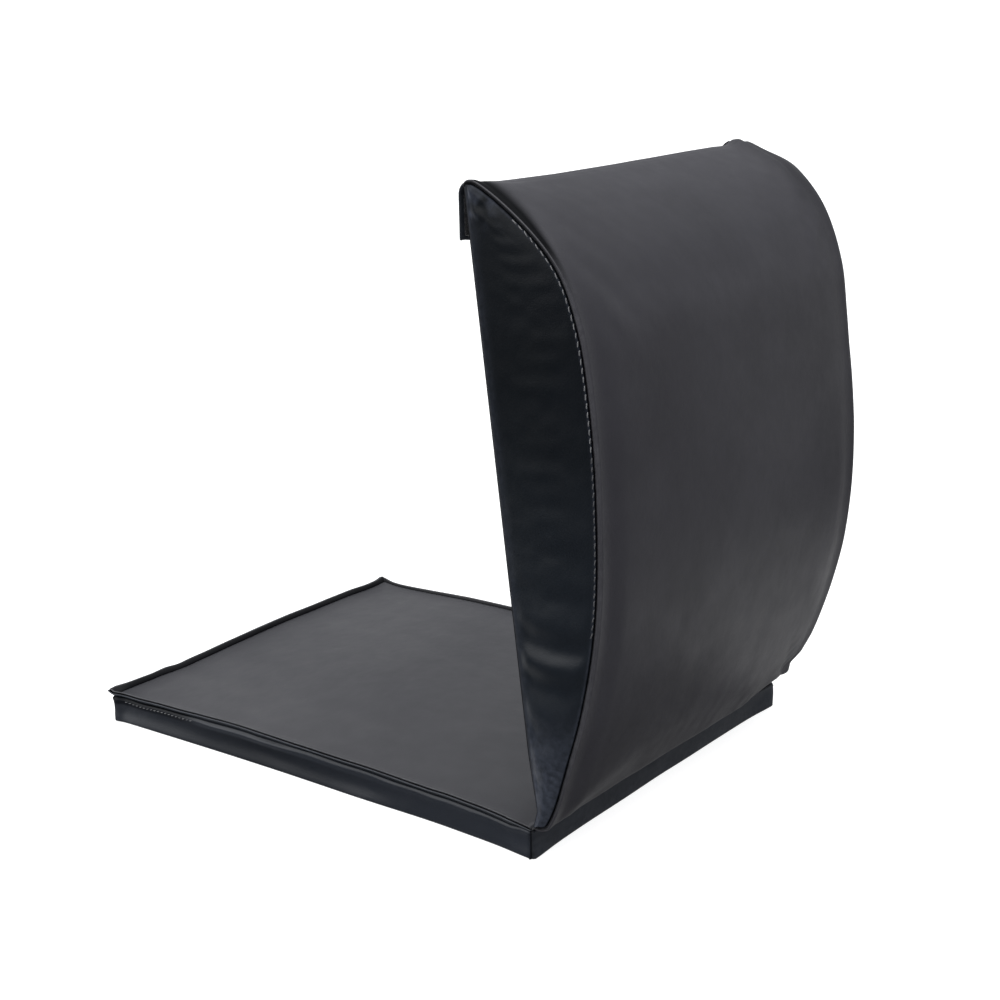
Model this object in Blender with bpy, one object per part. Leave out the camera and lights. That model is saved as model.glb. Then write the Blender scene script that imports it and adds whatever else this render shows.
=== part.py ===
"""Folding sit-up mat: a thin seat pad with an arched back pad hinged to its front top edge.

Metres, +Z up. The origin is the centre of the seat pad's underside. The hinge runs along X at
the seat pad's front top edge, and the arch pad stands over it with its flat side to the seat.
Left is -X and front is -Y.
"""

import math

import bmesh
import bpy
from mathutils import Matrix, Vector

# Cloth and clearances shared by all pieces
SKIN = 0.0010
GAP = 0.0003
LAYER_SHIFT = SKIN + GAP

# Looks, as a colour and a roughness
SIDE_CLOTH = ((0.055, 0.058, 0.064), 0.40)
FACE_CLOTH = ((0.075, 0.074, 0.076), 0.47)
FOAM = ((0.62, 0.60, 0.55), 0.90)
LOOPS = ((0.030, 0.030, 0.030), 0.95)
HOOKS = ((0.020, 0.020, 0.022), 0.95)

# Seat pad
SEAT_WIDTH = 0.300
SEAT_LENGTH = 0.378
SEAT_HEIGHT = 0.019
SEAT_REAR_CORNER = 0.007
SEAT_FRONT_CORNER = 0.004
SEAT_EDGE_ROLL = 0.003
SEAT_SIDE_DRAW = 0.0045
SEAT_REAR_DRAW = 0.0020
SEAT_FRONT_DRAW = 0.0030
SEAT_TOP_SINK = 0.0008
SEAM_PULL = 0.0005

# Standing lip round the seat: two turned-up edges sewn together
LIP_WIDTH = 0.005
LIP_SLOPE = math.radians(45)
LIP_FRONT_WIDTH = 0.0005
LIP_FRONT_DROP = 0.0020
LIP_RISE_RUN = 0.032

# Hinge cloth and the closure's loop strip
HINGE_LEAF = 0.014
HINGE_SET = 0.0003
HINGE_CLEAR = 0.0003
LOOP_STRIP_SIDE_INSET = 0.015
LOOP_STRIP_MARGIN = 0.0035
LOOP_STRIP_THICKNESS = 0.0014

# Arch pad, measured from its flat side
ARCH_LENGTH = 0.396
ARCH_DEPTH = 0.074
ARCH_WIDTH = 0.310
ARCH_FOOT_RUN = 0.060
ARCH_CROWN = 0.0020
ARCH_TOP_SAG = 0.0025
ARCH_SAG_RUN = 0.080
ARCH_SIDE_BULGE = 0.0030
FLAT_EDGE_ROLL = 0.0030
SEAM_ROLL_RADIUS = 0.0012
TOP_LAND = 0.0059
TOP_LAND_RISE = 0.0010

# Fold of the arch pad: the flat side passes this far from the hinge line
FOLD_ANGLE = math.radians(83.5)
FLAT_SIDE_OFFSET = 0.006

# Closure flap, hanging from the top edge of the arch pad
FLAP_LENGTH = 0.0325
FLAP_SIDE_INSET = 0.003
FLAP_THICKNESS = 0.0032
FLAP_CLOTH = 0.0015
FLAP_ROOT_DEPTH = 0.0030
FLAP_DROP = 0.0012
HOOK_STRIP_MARGIN = 0.0022

# Arched outline, from the hinge end to the top edge: shares of the arch's length and depth
ARCH_OUTLINE_SHARES = (
    (0.0010, 0.020), (0.0050, 0.085), (0.020, 0.150), (0.060, 0.275), (0.200, 0.615),
    (0.360, 0.860), (0.540, 0.975), (0.680, 0.995), (0.790, 0.950), (0.870, 0.820),
    (0.935, 0.555), (0.985, 0.220), (1.000, 0.080),
)
OUTLINE_STEPS = 24

# Steps of the lattices that the soft pieces are made on
ARCH_ROWS = 26
ARCH_NOSE_SHARES = (0, 0.12, 0.45)
ARCH_END_RUN_SHARE = 0.05
ARCH_COLUMN_SHARES = (0.25, 0.55, 0.80, 0.93)
GUSSET_COLUMNS = 5
SEAT_CORNER_SHARES = (1, 2 / 3, 1 / 3)
SEAT_EDGE_STEPS = 12
LIP_RISE_STEPS = 4
ROLL_STEPS = 3


# Shaping functions

def ease(share):
    """Smooth step from 0 to 1."""
    share = min(max(share, 0), 1)
    return share * share * (3 - 2 * share)


def blend(first, second, share):
    return first + (second - first) * share


def even_steps(first, last, count):
    return [blend(first, last, step / count) for step in range(count + 1)]


def smooth_curve(points, steps):
    """Centripetal curve through the points, as a finer list of points."""
    before = points[0] * 2 - points[1]
    after = points[-1] * 2 - points[-2]
    knots = [before, *points, after]
    curve = []
    for index in range(1, len(knots) - 2):
        curve += curve_span(knots[index - 1:index + 3], steps)
    return [*curve, points[-1]]


def curve_span(knots, steps):
    times = [0]
    for first, second in zip(knots, knots[1:]):
        times.append(times[-1] + math.sqrt((second - first).length))
    span = []
    for step in range(steps):
        time = blend(times[1], times[2], step / steps)
        level = list(knots)
        for size in (1, 2, 3):
            level = [
                between(level[k], level[k + 1], *span_times(times, k, size), time)
                for k in range(len(level) - 1)
            ]
        span.append(level[0])
    return span


def span_times(times, index, size):
    """Times of the pyramid's level: the last level runs over the middle span."""
    if size == 1:
        return times[index], times[index + 1]
    if size == 2:
        return times[index], times[index + 2]
    return times[1], times[2]


def between(first, second, start, end, time):
    return first.lerp(second, (time - start) / (end - start)) if end > start else first


# Mesh helpers

def unit_sheet(across, along):
    """Open grid whose vertices hold their column and row numbers in x and y."""
    mesh = bmesh.new()
    bmesh.ops.create_grid(mesh, x_segments=across, y_segments=along, size=1)
    for vertex in mesh.verts:
        vertex.co.x = round((vertex.co.x + 1) / 2 * across)
        vertex.co.y = round((vertex.co.y + 1) / 2 * along)
    return mesh


def unit_block(across, along, up):
    """Closed lattice block whose vertices hold their column, row and level numbers."""
    mesh = unit_sheet(across, along)
    region = list(mesh.faces)
    for level in range(up):
        grown = bmesh.ops.extrude_face_region(mesh, geom=region)["geom"]
        raised = [item for item in grown if isinstance(item, bmesh.types.BMVert)]
        bmesh.ops.translate(mesh, verts=raised, vec=(0, 0, 1))
        if level > 0:
            bmesh.ops.delete(mesh, geom=region, context="FACES")
        region = [item for item in grown if isinstance(item, bmesh.types.BMFace)]
    return mesh


def shape_lattice(mesh, place):
    for vertex in mesh.verts:
        column, row, level = (round(value) for value in vertex.co)
        vertex.co = place(column, row, level)


def make_material(name, look):
    colour, roughness = look
    material = bpy.data.materials.new(name)
    material.use_nodes = True
    shader = material.node_tree.nodes["Principled BSDF"]
    shader.inputs["Base Color"].default_value = (*colour, 1)
    shader.inputs["Roughness"].default_value = roughness
    shader.inputs["Metallic"].default_value = 0
    return material


def settle(name, data, look, parent):
    """Make the object, with its own material, under its parent empty."""
    body = bpy.data.objects.new(name, data)
    bpy.context.scene.collection.objects.link(body)
    body.parent = parent
    data.materials.append(make_material(name, look))
    return body


def finish(name, mesh, look, parent):
    data = bpy.data.meshes.new(name)
    mesh.to_mesh(data)
    mesh.free()
    return settle(name, data, look, parent)


def smooth(body, angle=math.radians(35)):
    body.data.shade_smooth()
    body.data.set_sharp_from_angle(angle=angle)
    return body


def sheet(name, across, along, place, thickness, look, parent=None):
    """Cloth panel: a shaped grid made solid towards its inner side."""
    mesh = unit_sheet(across, along)
    shape_lattice(mesh, lambda column, row, level: place(column, row))
    bmesh.ops.recalc_face_normals(mesh, faces=mesh.faces)
    body = finish(name, mesh, look, parent)
    solid = body.modifiers.new("thickness", "SOLIDIFY")
    solid.thickness = thickness
    solid.offset = -1
    solid.use_even_offset = True
    return smooth(body)


def face_towards(body, direction):
    """Turn an open grid so that its faces look along the direction."""
    total = Vector((0, 0, 0))
    for face in body.data.polygons:
        total += face.normal * face.area
    if total.dot(direction) < 0:
        body.data.flip_normals()
    return body


def block(name, across, along, up, place, look, parent=None):
    mesh = unit_block(across, along, up)
    shape_lattice(mesh, place)
    bmesh.ops.recalc_face_normals(mesh, faces=mesh.faces)
    return smooth(finish(name, mesh, look, parent))


def extruded(name, outline, low, high, look, parent=None):
    """Solid with the outline in the YZ plane, running along X from low to high."""
    mesh = bmesh.new()
    ring = [mesh.verts.new((low, y, z)) for y, z in outline]
    end = mesh.faces.new(ring)
    grown = bmesh.ops.extrude_face_region(mesh, geom=[end])["geom"]
    moved = [item for item in grown if isinstance(item, bmesh.types.BMVert)]
    bmesh.ops.translate(mesh, verts=moved, vec=(high - low, 0, 0))
    bmesh.ops.recalc_face_normals(mesh, faces=mesh.faces)
    return smooth(finish(name, mesh, look, parent))


def tube(name, route, radius, look, parent=None):
    """Round roll along the route, with closed ends."""
    curve = bpy.data.curves.new(name, "CURVE")
    curve.dimensions = "3D"
    curve.bevel_depth = radius
    curve.bevel_resolution = 1
    curve.use_fill_caps = True
    line = curve.splines.new("POLY")
    line.points.add(len(route) - 1)
    for point, place in zip(line.points, route):
        point.co = (*place, 1)
    return settle(name, curve, look, parent)


# Seat pad

SEAT_FRONT = -SEAT_LENGTH / 2
SEAT_REAR = SEAT_LENGTH / 2
LIP_OUT = math.cos(LIP_SLOPE)
LIP_UP = math.sin(LIP_SLOPE)


def seat_plan(x, y, z):
    """Round the corners of a rectangle place on the seat pad and draw its sides in."""
    radius = SEAT_REAR_CORNER if y > 0 else SEAT_FRONT_CORNER
    over_x = abs(x) - (SEAT_WIDTH / 2 - radius)
    over_y = abs(y) - (SEAT_REAR - radius)
    if over_x > 0 and over_y > 0:
        reach = max(over_x, over_y) / math.hypot(over_x, over_y)
        x = math.copysign(SEAT_WIDTH / 2 - radius + over_x * reach, x)
        y = math.copysign(SEAT_REAR - radius + over_y * reach, y)
    side = min(abs(y) / SEAT_REAR, 1)
    end = min(abs(x) / (SEAT_WIDTH / 2), 1)
    drawn_x = x - x / (SEAT_WIDTH / 2) * SEAT_SIDE_DRAW * math.cos(math.pi / 2 * side)
    if y > 0:
        shift = -SEAT_REAR_DRAW * y / SEAT_REAR
    else:
        shift = SEAT_FRONT_DRAW * y / SEAT_FRONT * max(0, 1 - z / (SEAT_HEIGHT - LAYER_SHIFT))
    return Vector((drawn_x, y + shift * math.cos(math.pi / 2 * end), z))


def end_places(radius, outset, pull=0):
    """Places along the front or the rear side, closer together round its two corners.

    A pull shortens the run at both ends, where a corner seam parts two bands.
    """
    reach = SEAT_WIDTH / 2 - radius
    corner = [reach + (radius + outset - pull) * share for share in SEAT_CORNER_SHARES]
    straight = even_steps(-reach, reach, SEAT_EDGE_STEPS)
    return [*(-place for place in corner), *straight, *reversed(corner)]


def side_straight():
    """Places along the straight stretch of a long side, with the lip's rise in short steps."""
    flat = SEAT_FRONT + HINGE_LEAF
    rise = even_steps(flat, flat + LIP_RISE_RUN, LIP_RISE_STEPS)
    rest = even_steps(rise[-1], SEAT_REAR - SEAT_REAR_CORNER, SEAT_EDGE_STEPS)
    return [*rise, *rest[1:]]


def side_places(outset, pull=0):
    """Places along a long side from front to rear, closer together round its two corners."""
    front = SEAT_FRONT + SEAT_FRONT_CORNER
    rear = SEAT_REAR - SEAT_REAR_CORNER
    first = SEAT_FRONT_CORNER + outset - pull
    last = SEAT_REAR_CORNER + outset - pull
    start = [front - first * share for share in SEAT_CORNER_SHARES]
    end = [rear + last * share for share in SEAT_CORNER_SHARES]
    return [*start, front, *side_straight(), *reversed(end)]


def lip_share(y):
    """0 at the hinge, where the lip lies flat, and 1 where it stands at full width."""
    return ease((y - SEAT_FRONT - HINGE_LEAF) / LIP_RISE_RUN)


def lip_width(y):
    return blend(LIP_FRONT_WIDTH, LIP_WIDTH, lip_share(y))


def lip_root(y):
    return SEAT_HEIGHT - LIP_FRONT_DROP * (1 - lip_share(y))


def band_profile(y):
    """Outer profile of a lipped side band as (outset, height), from its bottom roll upwards."""
    points = bottom_roll()
    points.append((0, lip_root(y)))
    points.append((lip_width(y) * LIP_OUT, lip_root(y) + lip_width(y) * LIP_UP))
    return points


def bottom_roll():
    points = []
    for angle in even_steps(0, math.pi / 2, ROLL_STEPS):
        inset = SEAT_EDGE_ROLL * (1 - math.sin(angle))
        height = GAP + SEAT_EDGE_ROLL * (1 - math.cos(angle))
        points.append((-inset, height))
    return points


def make_side_band(name, side):
    steps = len(side_places(0)) - 1
    levels = len(band_profile(0)) - 1

    def place(column, row):
        outset, height = band_profile(side_places(0)[column])[row]
        y = side_places(outset, SEAM_PULL)[column]
        return seat_plan(side * (SEAT_WIDTH / 2 + outset), y, height)

    body = sheet(name, steps, levels, place, SKIN, SIDE_CLOTH)
    return face_towards(body, Vector((side, 0, 0)))


def make_rear_band():
    steps = len(end_places(SEAT_REAR_CORNER, 0)) - 1
    profile = band_profile(SEAT_REAR)

    def place(column, row):
        outset, height = profile[row]
        x = end_places(SEAT_REAR_CORNER, outset, SEAM_PULL)[column]
        return seat_plan(x, SEAT_REAR + outset, height)

    body = sheet("seat_rear_band", steps, len(profile) - 1, place, SKIN, SIDE_CLOTH)
    return face_towards(body, Vector((0, 1, 0)))


def make_front_band():
    steps = len(end_places(SEAT_FRONT_CORNER, 0)) - 1
    top = SEAT_HEIGHT - HINGE_SET - LAYER_SHIFT - GAP
    profile = [*bottom_roll(), (0, top)]

    def place(column, row):
        outset, height = profile[row]
        x = end_places(SEAT_FRONT_CORNER, outset, SEAM_PULL)[column]
        return seat_plan(x, SEAT_FRONT - outset, height)

    body = sheet("seat_front_band", steps, len(profile) - 1, place, SKIN, SIDE_CLOTH)
    return face_towards(body, Vector((0, -1, 0)))


def inner_tip(y):
    """Outset and height of the top edge of the lip's inner layer, on its upper side."""
    layers = 2 * SKIN + GAP
    outset = lip_width(y) * LIP_OUT - layers * LIP_UP
    return outset, lip_root(y) + lip_width(y) * LIP_UP + layers * LIP_OUT


def inner_root(y):
    """Outset where the top panel bends up into the lip, on its upper side."""
    outset, height = inner_tip(y)
    flat = SEAT_HEIGHT - SEAT_TOP_SINK
    return outset - (height - flat) * LIP_OUT / LIP_UP


def make_top_panel():
    """Top panel with its left, right and rear edges turned up as the lip's inner layer."""
    front = SEAT_FRONT + HINGE_LEAF + GAP
    flat = SEAT_HEIGHT - SEAT_TOP_SINK
    corner = SEAT_WIDTH / 2 - SEAT_REAR_CORNER
    straight_x = even_steps(-corner, corner, SEAT_EDGE_STEPS)
    straight_y = [front, *(place for place in side_straight() if place > front + GAP)]

    def line_y(row):
        """Rectangle place of a row: the straight ones, then mid corner, root and tip."""
        if row < len(straight_y):
            return straight_y[row]
        root = SEAT_REAR + inner_root(SEAT_REAR)
        tip = SEAT_REAR + inner_tip(SEAT_REAR)[0]
        return (blend(straight_y[-1], root, 0.5), root, tip)[row - len(straight_y)]

    def line_x(column, y):
        """Rectangle place of a column: tip, root, mid corner, the straight ones, and back."""
        root = SEAT_WIDTH / 2 + inner_root(y)
        tip = SEAT_WIDTH / 2 + inner_tip(y)[0]
        edge = (tip, root, blend(corner, root, 0.5))
        if column < len(edge):
            return -edge[column]
        if column < len(edge) + len(straight_x):
            return straight_x[column - len(edge)]
        return edge[len(edge) * 2 + len(straight_x) - 1 - column]

    last_column = len(straight_x) + 2 * 3 - 1
    last_row = len(straight_y) + 3 - 1

    def place(column, row):
        y = line_y(row)
        x = line_x(column, y)
        raised = column in (0, last_column) or row == last_row
        return seat_plan(x, y, inner_tip(y)[1] if raised else flat)

    body = sheet("seat_top_panel", last_column, last_row, place, SKIN, FACE_CLOTH)
    return face_towards(body, Vector((0, 0, 1)))


def make_bottom_panel():
    inset = SEAT_EDGE_ROLL + 2 * GAP
    side = SEAT_WIDTH / 2 - inset
    steps = SEAT_EDGE_STEPS

    def place(column, row):
        x = blend(-side, side, column / steps)
        y = blend(SEAT_FRONT + inset, SEAT_REAR - inset, row / steps)
        return seat_plan(x, y, 0)

    body = sheet("seat_bottom_panel", steps, steps, place, SKIN, SIDE_CLOTH)
    return face_towards(body, Vector((0, 0, -1)))


def make_seat_foam():
    """Foam slab inside the cover, with its bottom edge rounded like the bands."""
    top = SEAT_HEIGHT - SEAT_TOP_SINK - LAYER_SHIFT
    bottom = SKIN + GAP
    roll = SEAT_EDGE_ROLL - LAYER_SHIFT + GAP
    levels = ((LAYER_SHIFT + GAP + roll, bottom), (LAYER_SHIFT, bottom + roll), (LAYER_SHIFT, top))
    columns = len(end_places(SEAT_REAR_CORNER, 0)) - 1
    rows = len(side_places(0)) - 1

    def place(column, row, level):
        inset, height = levels[level]
        across = end_places(SEAT_REAR_CORNER, -inset)
        return seat_plan(across[column], side_places(-inset)[row], height)

    return block("seat_foam", columns, rows, len(levels) - 1, place, FOAM)


def make_hinge_seat_leaf():
    """Leaf of the hinge cloth that closes the seat pad's front top edge."""
    steps = SEAT_EDGE_STEPS
    side = SEAT_WIDTH / 2 - LAYER_SHIFT - GAP

    def place(column, row):
        height = SEAT_HEIGHT - blend(HINGE_SET, SEAT_TOP_SINK, row)
        x = blend(-side, side, column / steps)
        return seat_plan(x, SEAT_FRONT + HINGE_LEAF * row, height)

    body = sheet("hinge_seat_leaf", steps, 1, place, SKIN, FACE_CLOTH)
    return face_towards(body, Vector((0, 0, 1)))


def make_loop_strip():
    """Loop half of the closure, on the rear band where the flap reaches it."""
    steps = SEAT_EDGE_STEPS
    side = SEAT_WIDTH / 2 - LOOP_STRIP_SIDE_INSET

    def place(column, row):
        x = blend(-side, side, column / steps)
        height = blend(LOOP_STRIP_MARGIN, SEAT_HEIGHT - LOOP_STRIP_MARGIN, row)
        return seat_plan(x, SEAT_REAR + GAP + LOOP_STRIP_THICKNESS, height)

    body = sheet("seat_loop_strip", steps, 1, place, LOOP_STRIP_THICKNESS, LOOPS)
    return face_towards(body, Vector((0, 1, 0)))


# Arch pad, in the frame of its hinge empty

def arch_outline():
    """Arched side as (along, out): along the flat side, and out from it."""
    points = []
    for along_share, out_share in ARCH_OUTLINE_SHARES:
        points.append(Vector((along_share * ARCH_LENGTH, out_share * ARCH_DEPTH)))
    return smooth_curve(points, OUTLINE_STEPS)


def end_face_outline():
    """Hinge end of the arch pad, from close to the hinge line to the start of the arch."""
    start = arch_outline()[0]
    inner = -FLAT_SIDE_OFFSET + HINGE_CLEAR + 2 * LAYER_SHIFT
    return [Vector((start.x, out)) for out in even_steps(inner, start.y, ROLL_STEPS)]


def flat_side(along):
    """Out place of the flat side: level, but sloping to the hinge line at its lower end."""
    share = min(along / HINGE_LEAF, 1)
    return (HINGE_CLEAR - FLAT_SIDE_OFFSET) * (1 - share)


def flat_side_stretch(along):
    """Out distance that a cloth of unit thickness takes on the sloping lower end."""
    if along > HINGE_LEAF:
        return 1
    return math.hypot(HINGE_LEAF, FLAT_SIDE_OFFSET) / HINGE_LEAF


def normals(points):
    """Outward normals of a profile that runs from the hinge end to the top edge."""
    result = []
    for index in range(len(points)):
        first = points[max(index - 1, 0)]
        second = points[min(index + 1, len(points) - 1)]
        run = (second - first).normalized()
        result.append(Vector((-run.y, run.x)))
    return result


def inset_outline(inset):
    """Arched outline moved in by the inset, as points that run on along the pad."""
    outline = arch_outline()
    moved = []
    for point, normal in zip(outline, normals(outline)):
        place = point - normal * inset
        if not moved or place.x > moved[-1].x:
            moved.append(place)
    return moved


def out_at(points, along):
    """Out place of a profile at a place along the pad, held level past its ends."""
    for first, second in zip(points, points[1:]):
        if along <= second.x:
            share = max((along - first.x) / (second.x - first.x), 0)
            return blend(first.y, second.y, share)
    return points[-1].y


def row_places(inset):
    """Rows of a piece that lies the inset below the arched outline, as (along, out)."""
    outline = arch_outline()
    low = outline[0].x
    body = [point for point in outline if point.x >= HINGE_LEAF]
    rest = sampled(body, even_steps(0, 1, ARCH_ROWS - len(ARCH_NOSE_SHARES)))
    alongs = [blend(low, HINGE_LEAF, share) for share in ARCH_NOSE_SHARES]
    alongs += [HINGE_LEAF, *(point.x for point in rest[1:])]
    end_run = ARCH_END_RUN_SHARE * ARCH_LENGTH
    bend = ARCH_LENGTH - end_run
    end = ARCH_LENGTH - (TOP_LAND_RISE + inset if inset else 0)
    points = inset_outline(inset)
    rows = []
    for along in alongs:
        if along < HINGE_LEAF:
            along = blend(low + inset, HINGE_LEAF, (along - low) / (HINGE_LEAF - low))
        if along > bend:
            along = blend(bend, end, (along - bend) / end_run)
        rows.append(Vector((along, out_at(points, along))))
    return rows


def sampled(points, shares):
    """Points at shares of the length of a polyline."""
    lengths = [0]
    for first, second in zip(points, points[1:]):
        lengths.append(lengths[-1] + (second - first).length)
    result = []
    for share in shares:
        goal = share * lengths[-1]
        index = next((k for k, length in enumerate(lengths) if length >= goal), len(points) - 1)
        index = max(index, 1)
        run = lengths[index] - lengths[index - 1]
        part = (goal - lengths[index - 1]) / run if run > 0 else 0
        result.append(points[index - 1].lerp(points[index], part))
    return result


def column_shares():
    """Shares of the half width from the left side to the right, closer together at the seams."""
    half = list(ARCH_COLUMN_SHARES)
    return [*(-share for share in reversed(half)), 0, *half]


def half_width(along):
    """Half the pad's width, which narrows to the seat pad's at the hinge."""
    return blend(SEAT_WIDTH / 2, ARCH_WIDTH / 2, ease(along / ARCH_FOOT_RUN))


def crown(along, share):
    """Rise of the foam between its seams, none at the hinge end and the top edge."""
    foot = ease(along / ARCH_FOOT_RUN)
    top = ease((ARCH_LENGTH - along) / ARCH_SAG_RUN)
    return ARCH_CROWN * (1 - share ** 6) * foot * top


def sag(along, share):
    """Drop of the top edge between its two corners."""
    near_top = ease((along - ARCH_LENGTH + ARCH_SAG_RUN) / ARCH_SAG_RUN)
    return ARCH_TOP_SAG * (1 - share * share) * near_top


def arch_place(x, along, out, share=1):
    """Place of a profile place at x, with the sag of that share: out runs along -Y."""
    return Vector((x, -(out + FLAT_SIDE_OFFSET), along - sag(along, share)))


def make_arch_foam(parent):
    """Foam block: rows along the pad, columns through it and levels across its width."""
    edge = SKIN + GAP
    corner = 2 * SEAM_ROLL_RADIUS + edge + SKIN
    middle = column_shares()
    stations = [-1, *middle, 1]
    inner = row_places(edge)
    outer = row_places(corner)

    def place(column, row, level):
        share = stations[level]
        at_side = level in (0, len(stations) - 1)
        inset = corner if at_side else edge
        front = (outer if at_side else inner)[row]
        back = flat_side(front.x) + inset * flat_side_stretch(front.x)
        out = blend(back, front.y, column / GUSSET_COLUMNS)
        out += crown(front.x, share) * column / GUSSET_COLUMNS
        half = half_width(front.x)
        if at_side:
            bulge = side_bulge(column / GUSSET_COLUMNS, row / ARCH_ROWS)
            x = share * (half - edge + bulge)
        else:
            x = share * (half - corner) / middle[-1]
        return arch_place(x, front.x, out, share)

    return block("arch_foam", GUSSET_COLUMNS, ARCH_ROWS, len(stations) - 1, place, FOAM, parent)


def side_bulge(through, along):
    """Swelling of the arch pad's side between the flat edge and the arched seam."""
    return ARCH_SIDE_BULGE * math.sin(math.pi * through) * math.sin(math.pi * along) ** 0.5


def make_curved_panel(parent):
    """Panel over the hinge end and the arched side, between the two seam rolls."""
    path = end_face_outline()[:-1] + row_places(0)
    normal = normals(path)
    shares = column_shares()
    steps = len(shares) - 1
    seam = 2 * SEAM_ROLL_RADIUS + GAP

    def place(column, row):
        share = shares[column]
        point = path[row] + normal[row] * crown(path[row].x, share)
        x = share / shares[-1] * (half_width(point.x) - seam)
        return arch_place(x, point.x, point.y, share)

    body = sheet("arch_curved_panel", steps, len(path) - 1, place, SKIN, FACE_CLOTH, parent)
    return face_towards(body, Vector((0, -1, 0)))


def make_flat_panel(parent):
    """Flat side's panel, with its two long edges rolled round to the gussets."""
    low = HINGE_LEAF + GAP
    high = ARCH_LENGTH - TOP_LAND_RISE - LAYER_SHIFT
    roll = [(FLAT_EDGE_ROLL * (1 - math.sin(angle)), FLAT_EDGE_ROLL * (1 - math.cos(angle)))
            for angle in even_steps(math.pi / 2, 0, ROLL_STEPS)]
    middle = even_steps(-1, 1, len(ARCH_COLUMN_SHARES) * 2)[1:-1]
    rows = ARCH_ROWS // 2
    count = len(roll) * 2 + len(middle)

    def place(column, row):
        along = blend(low, high, row / rows)
        half = half_width(along)
        if column < len(roll):
            inset, out = roll[column]
            return arch_place(inset - half, along, out)
        if column >= len(roll) + len(middle):
            inset, out = roll[count - 1 - column]
            return arch_place(half - inset, along, out)
        share = middle[column - len(roll)]
        return arch_place(share * (half - FLAT_EDGE_ROLL), along, 0, share)

    body = sheet("arch_flat_panel", count - 1, rows, place, SKIN, FACE_CLOTH, parent)
    return face_towards(body, Vector((0, 1, 0)))


def make_gusset(name, side, parent):
    """Side panel between the flat panel's rolled edge and the seam roll."""
    seam = 2 * SEAM_ROLL_RADIUS + GAP
    rows = row_places(seam)

    def place(column, row):
        front = rows[row]
        through = column / GUSSET_COLUMNS
        back = flat_side(front.x) + FLAT_EDGE_ROLL + GAP
        bulge = side_bulge(through, row / ARCH_ROWS)
        out = blend(back, front.y, through)
        return arch_place(side * (half_width(front.x) + bulge), front.x, out)

    body = sheet(name, GUSSET_COLUMNS, ARCH_ROWS, place, SKIN, SIDE_CLOTH, parent)
    return face_towards(body, Vector((side, 0, 0)))


def make_seam_roll(name, side, parent):
    """Turned seam between the curved panel and a gusset, as a thin roll in the corner."""
    route = []
    for point in row_places(SEAM_ROLL_RADIUS):
        x = side * (half_width(point.x) - SEAM_ROLL_RADIUS)
        route.append(arch_place(x, point.x, point.y))
    return tube(name, route, SEAM_ROLL_RADIUS, SIDE_CLOTH, parent)


def make_hinge_arch_leaf(parent):
    """Leaf of the hinge cloth on the sloping lower end of the arch pad's flat side."""
    side = SEAT_WIDTH / 2
    outline = []
    for along, depth in ((HINGE_CLEAR, 0), (HINGE_LEAF, 0), (HINGE_LEAF, SKIN), (HINGE_CLEAR, SKIN)):
        out = flat_side(along) + depth * flat_side_stretch(along)
        outline.append(arch_place(0, along, out).yz)
    return extruded("hinge_arch_leaf", outline, -side, side, FACE_CLOTH, parent)


def make_root_tape(parent):
    """Tape over the narrow top edge, which carries the closure flap."""
    steps = len(ARCH_COLUMN_SHARES) * 2

    def place(column, row):
        share = blend(-1, 1, column / steps)
        along = ARCH_LENGTH - TOP_LAND_RISE * (1 - row)
        half = half_width(along)
        return arch_place(share * half, along, (TOP_LAND - SKIN) * row, share)

    body = sheet("flap_root_tape", steps, 1, place, SKIN, SIDE_CLOTH, parent)
    return face_towards(body, Vector((0, 0, 1)))


# Closure flap, in the frame of its own empty

def make_flap(parent):
    """Cloth flap with a round root on its swing axis and a thin leaf on the outer side."""
    half = FLAP_THICKNESS / 2
    turn = even_steps(0, math.pi, 2 * ROLL_STEPS)
    root = [(half * math.cos(angle), half * math.sin(angle)) for angle in turn]
    inner = half - FLAP_CLOTH
    leaf = [(-half, -FLAP_ROOT_DEPTH), (inner, -FLAP_ROOT_DEPTH - half),
            (inner, -FLAP_LENGTH), (half, -FLAP_LENGTH)]
    side = ARCH_WIDTH / 2 - FLAP_SIDE_INSET
    return extruded("closure_flap", root + leaf, -side, side, SIDE_CLOTH, parent)


def make_hook_strip(parent):
    half = FLAP_THICKNESS / 2
    outer = half - FLAP_CLOTH - GAP
    low = HOOK_STRIP_MARGIN - FLAP_LENGTH
    high = -FLAP_ROOT_DEPTH - half - HOOK_STRIP_MARGIN
    side = ARCH_WIDTH / 2 - FLAP_SIDE_INSET - HOOK_STRIP_MARGIN
    outline = [(-half, low), (outer, low), (outer, high), (-half, high)]
    return extruded("flap_hook_strip", outline, -side, side, HOOKS, parent)


# Assembly

def make_empty(name, location, turn, parent=None):
    empty = bpy.data.objects.new(name, None)
    bpy.context.scene.collection.objects.link(empty)
    empty.parent = parent
    empty.location = location
    empty.rotation_euler = (turn, 0, 0)
    return empty


def make_seat_pad():
    make_seat_foam()
    make_bottom_panel()
    make_top_panel()
    make_side_band("seat_left_band", -1)
    make_side_band("seat_right_band", 1)
    make_rear_band()
    make_front_band()
    make_loop_strip()
    make_hinge_seat_leaf()


def make_arch_pad(hinge):
    make_arch_foam(hinge)
    make_curved_panel(hinge)
    make_flat_panel(hinge)
    make_gusset("arch_left_gusset", -1, hinge)
    make_gusset("arch_right_gusset", 1, hinge)
    make_seam_roll("arch_left_seam_roll", -1, hinge)
    make_seam_roll("arch_right_seam_roll", 1, hinge)
    make_hinge_arch_leaf(hinge)
    make_root_tape(hinge)


def flap_axis():
    """Place of the flap's swing axis in the hinge empty's frame: clear of the top back corner."""
    lean = math.pi / 2 - FOLD_ANGLE
    upright = Matrix.Rotation(lean, 3, "X")
    corner = arch_place(0, ARCH_LENGTH - TOP_LAND_RISE, 0)
    return corner + upright @ Vector((0, FLAP_THICKNESS / 2 + GAP, -FLAP_DROP))


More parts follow.
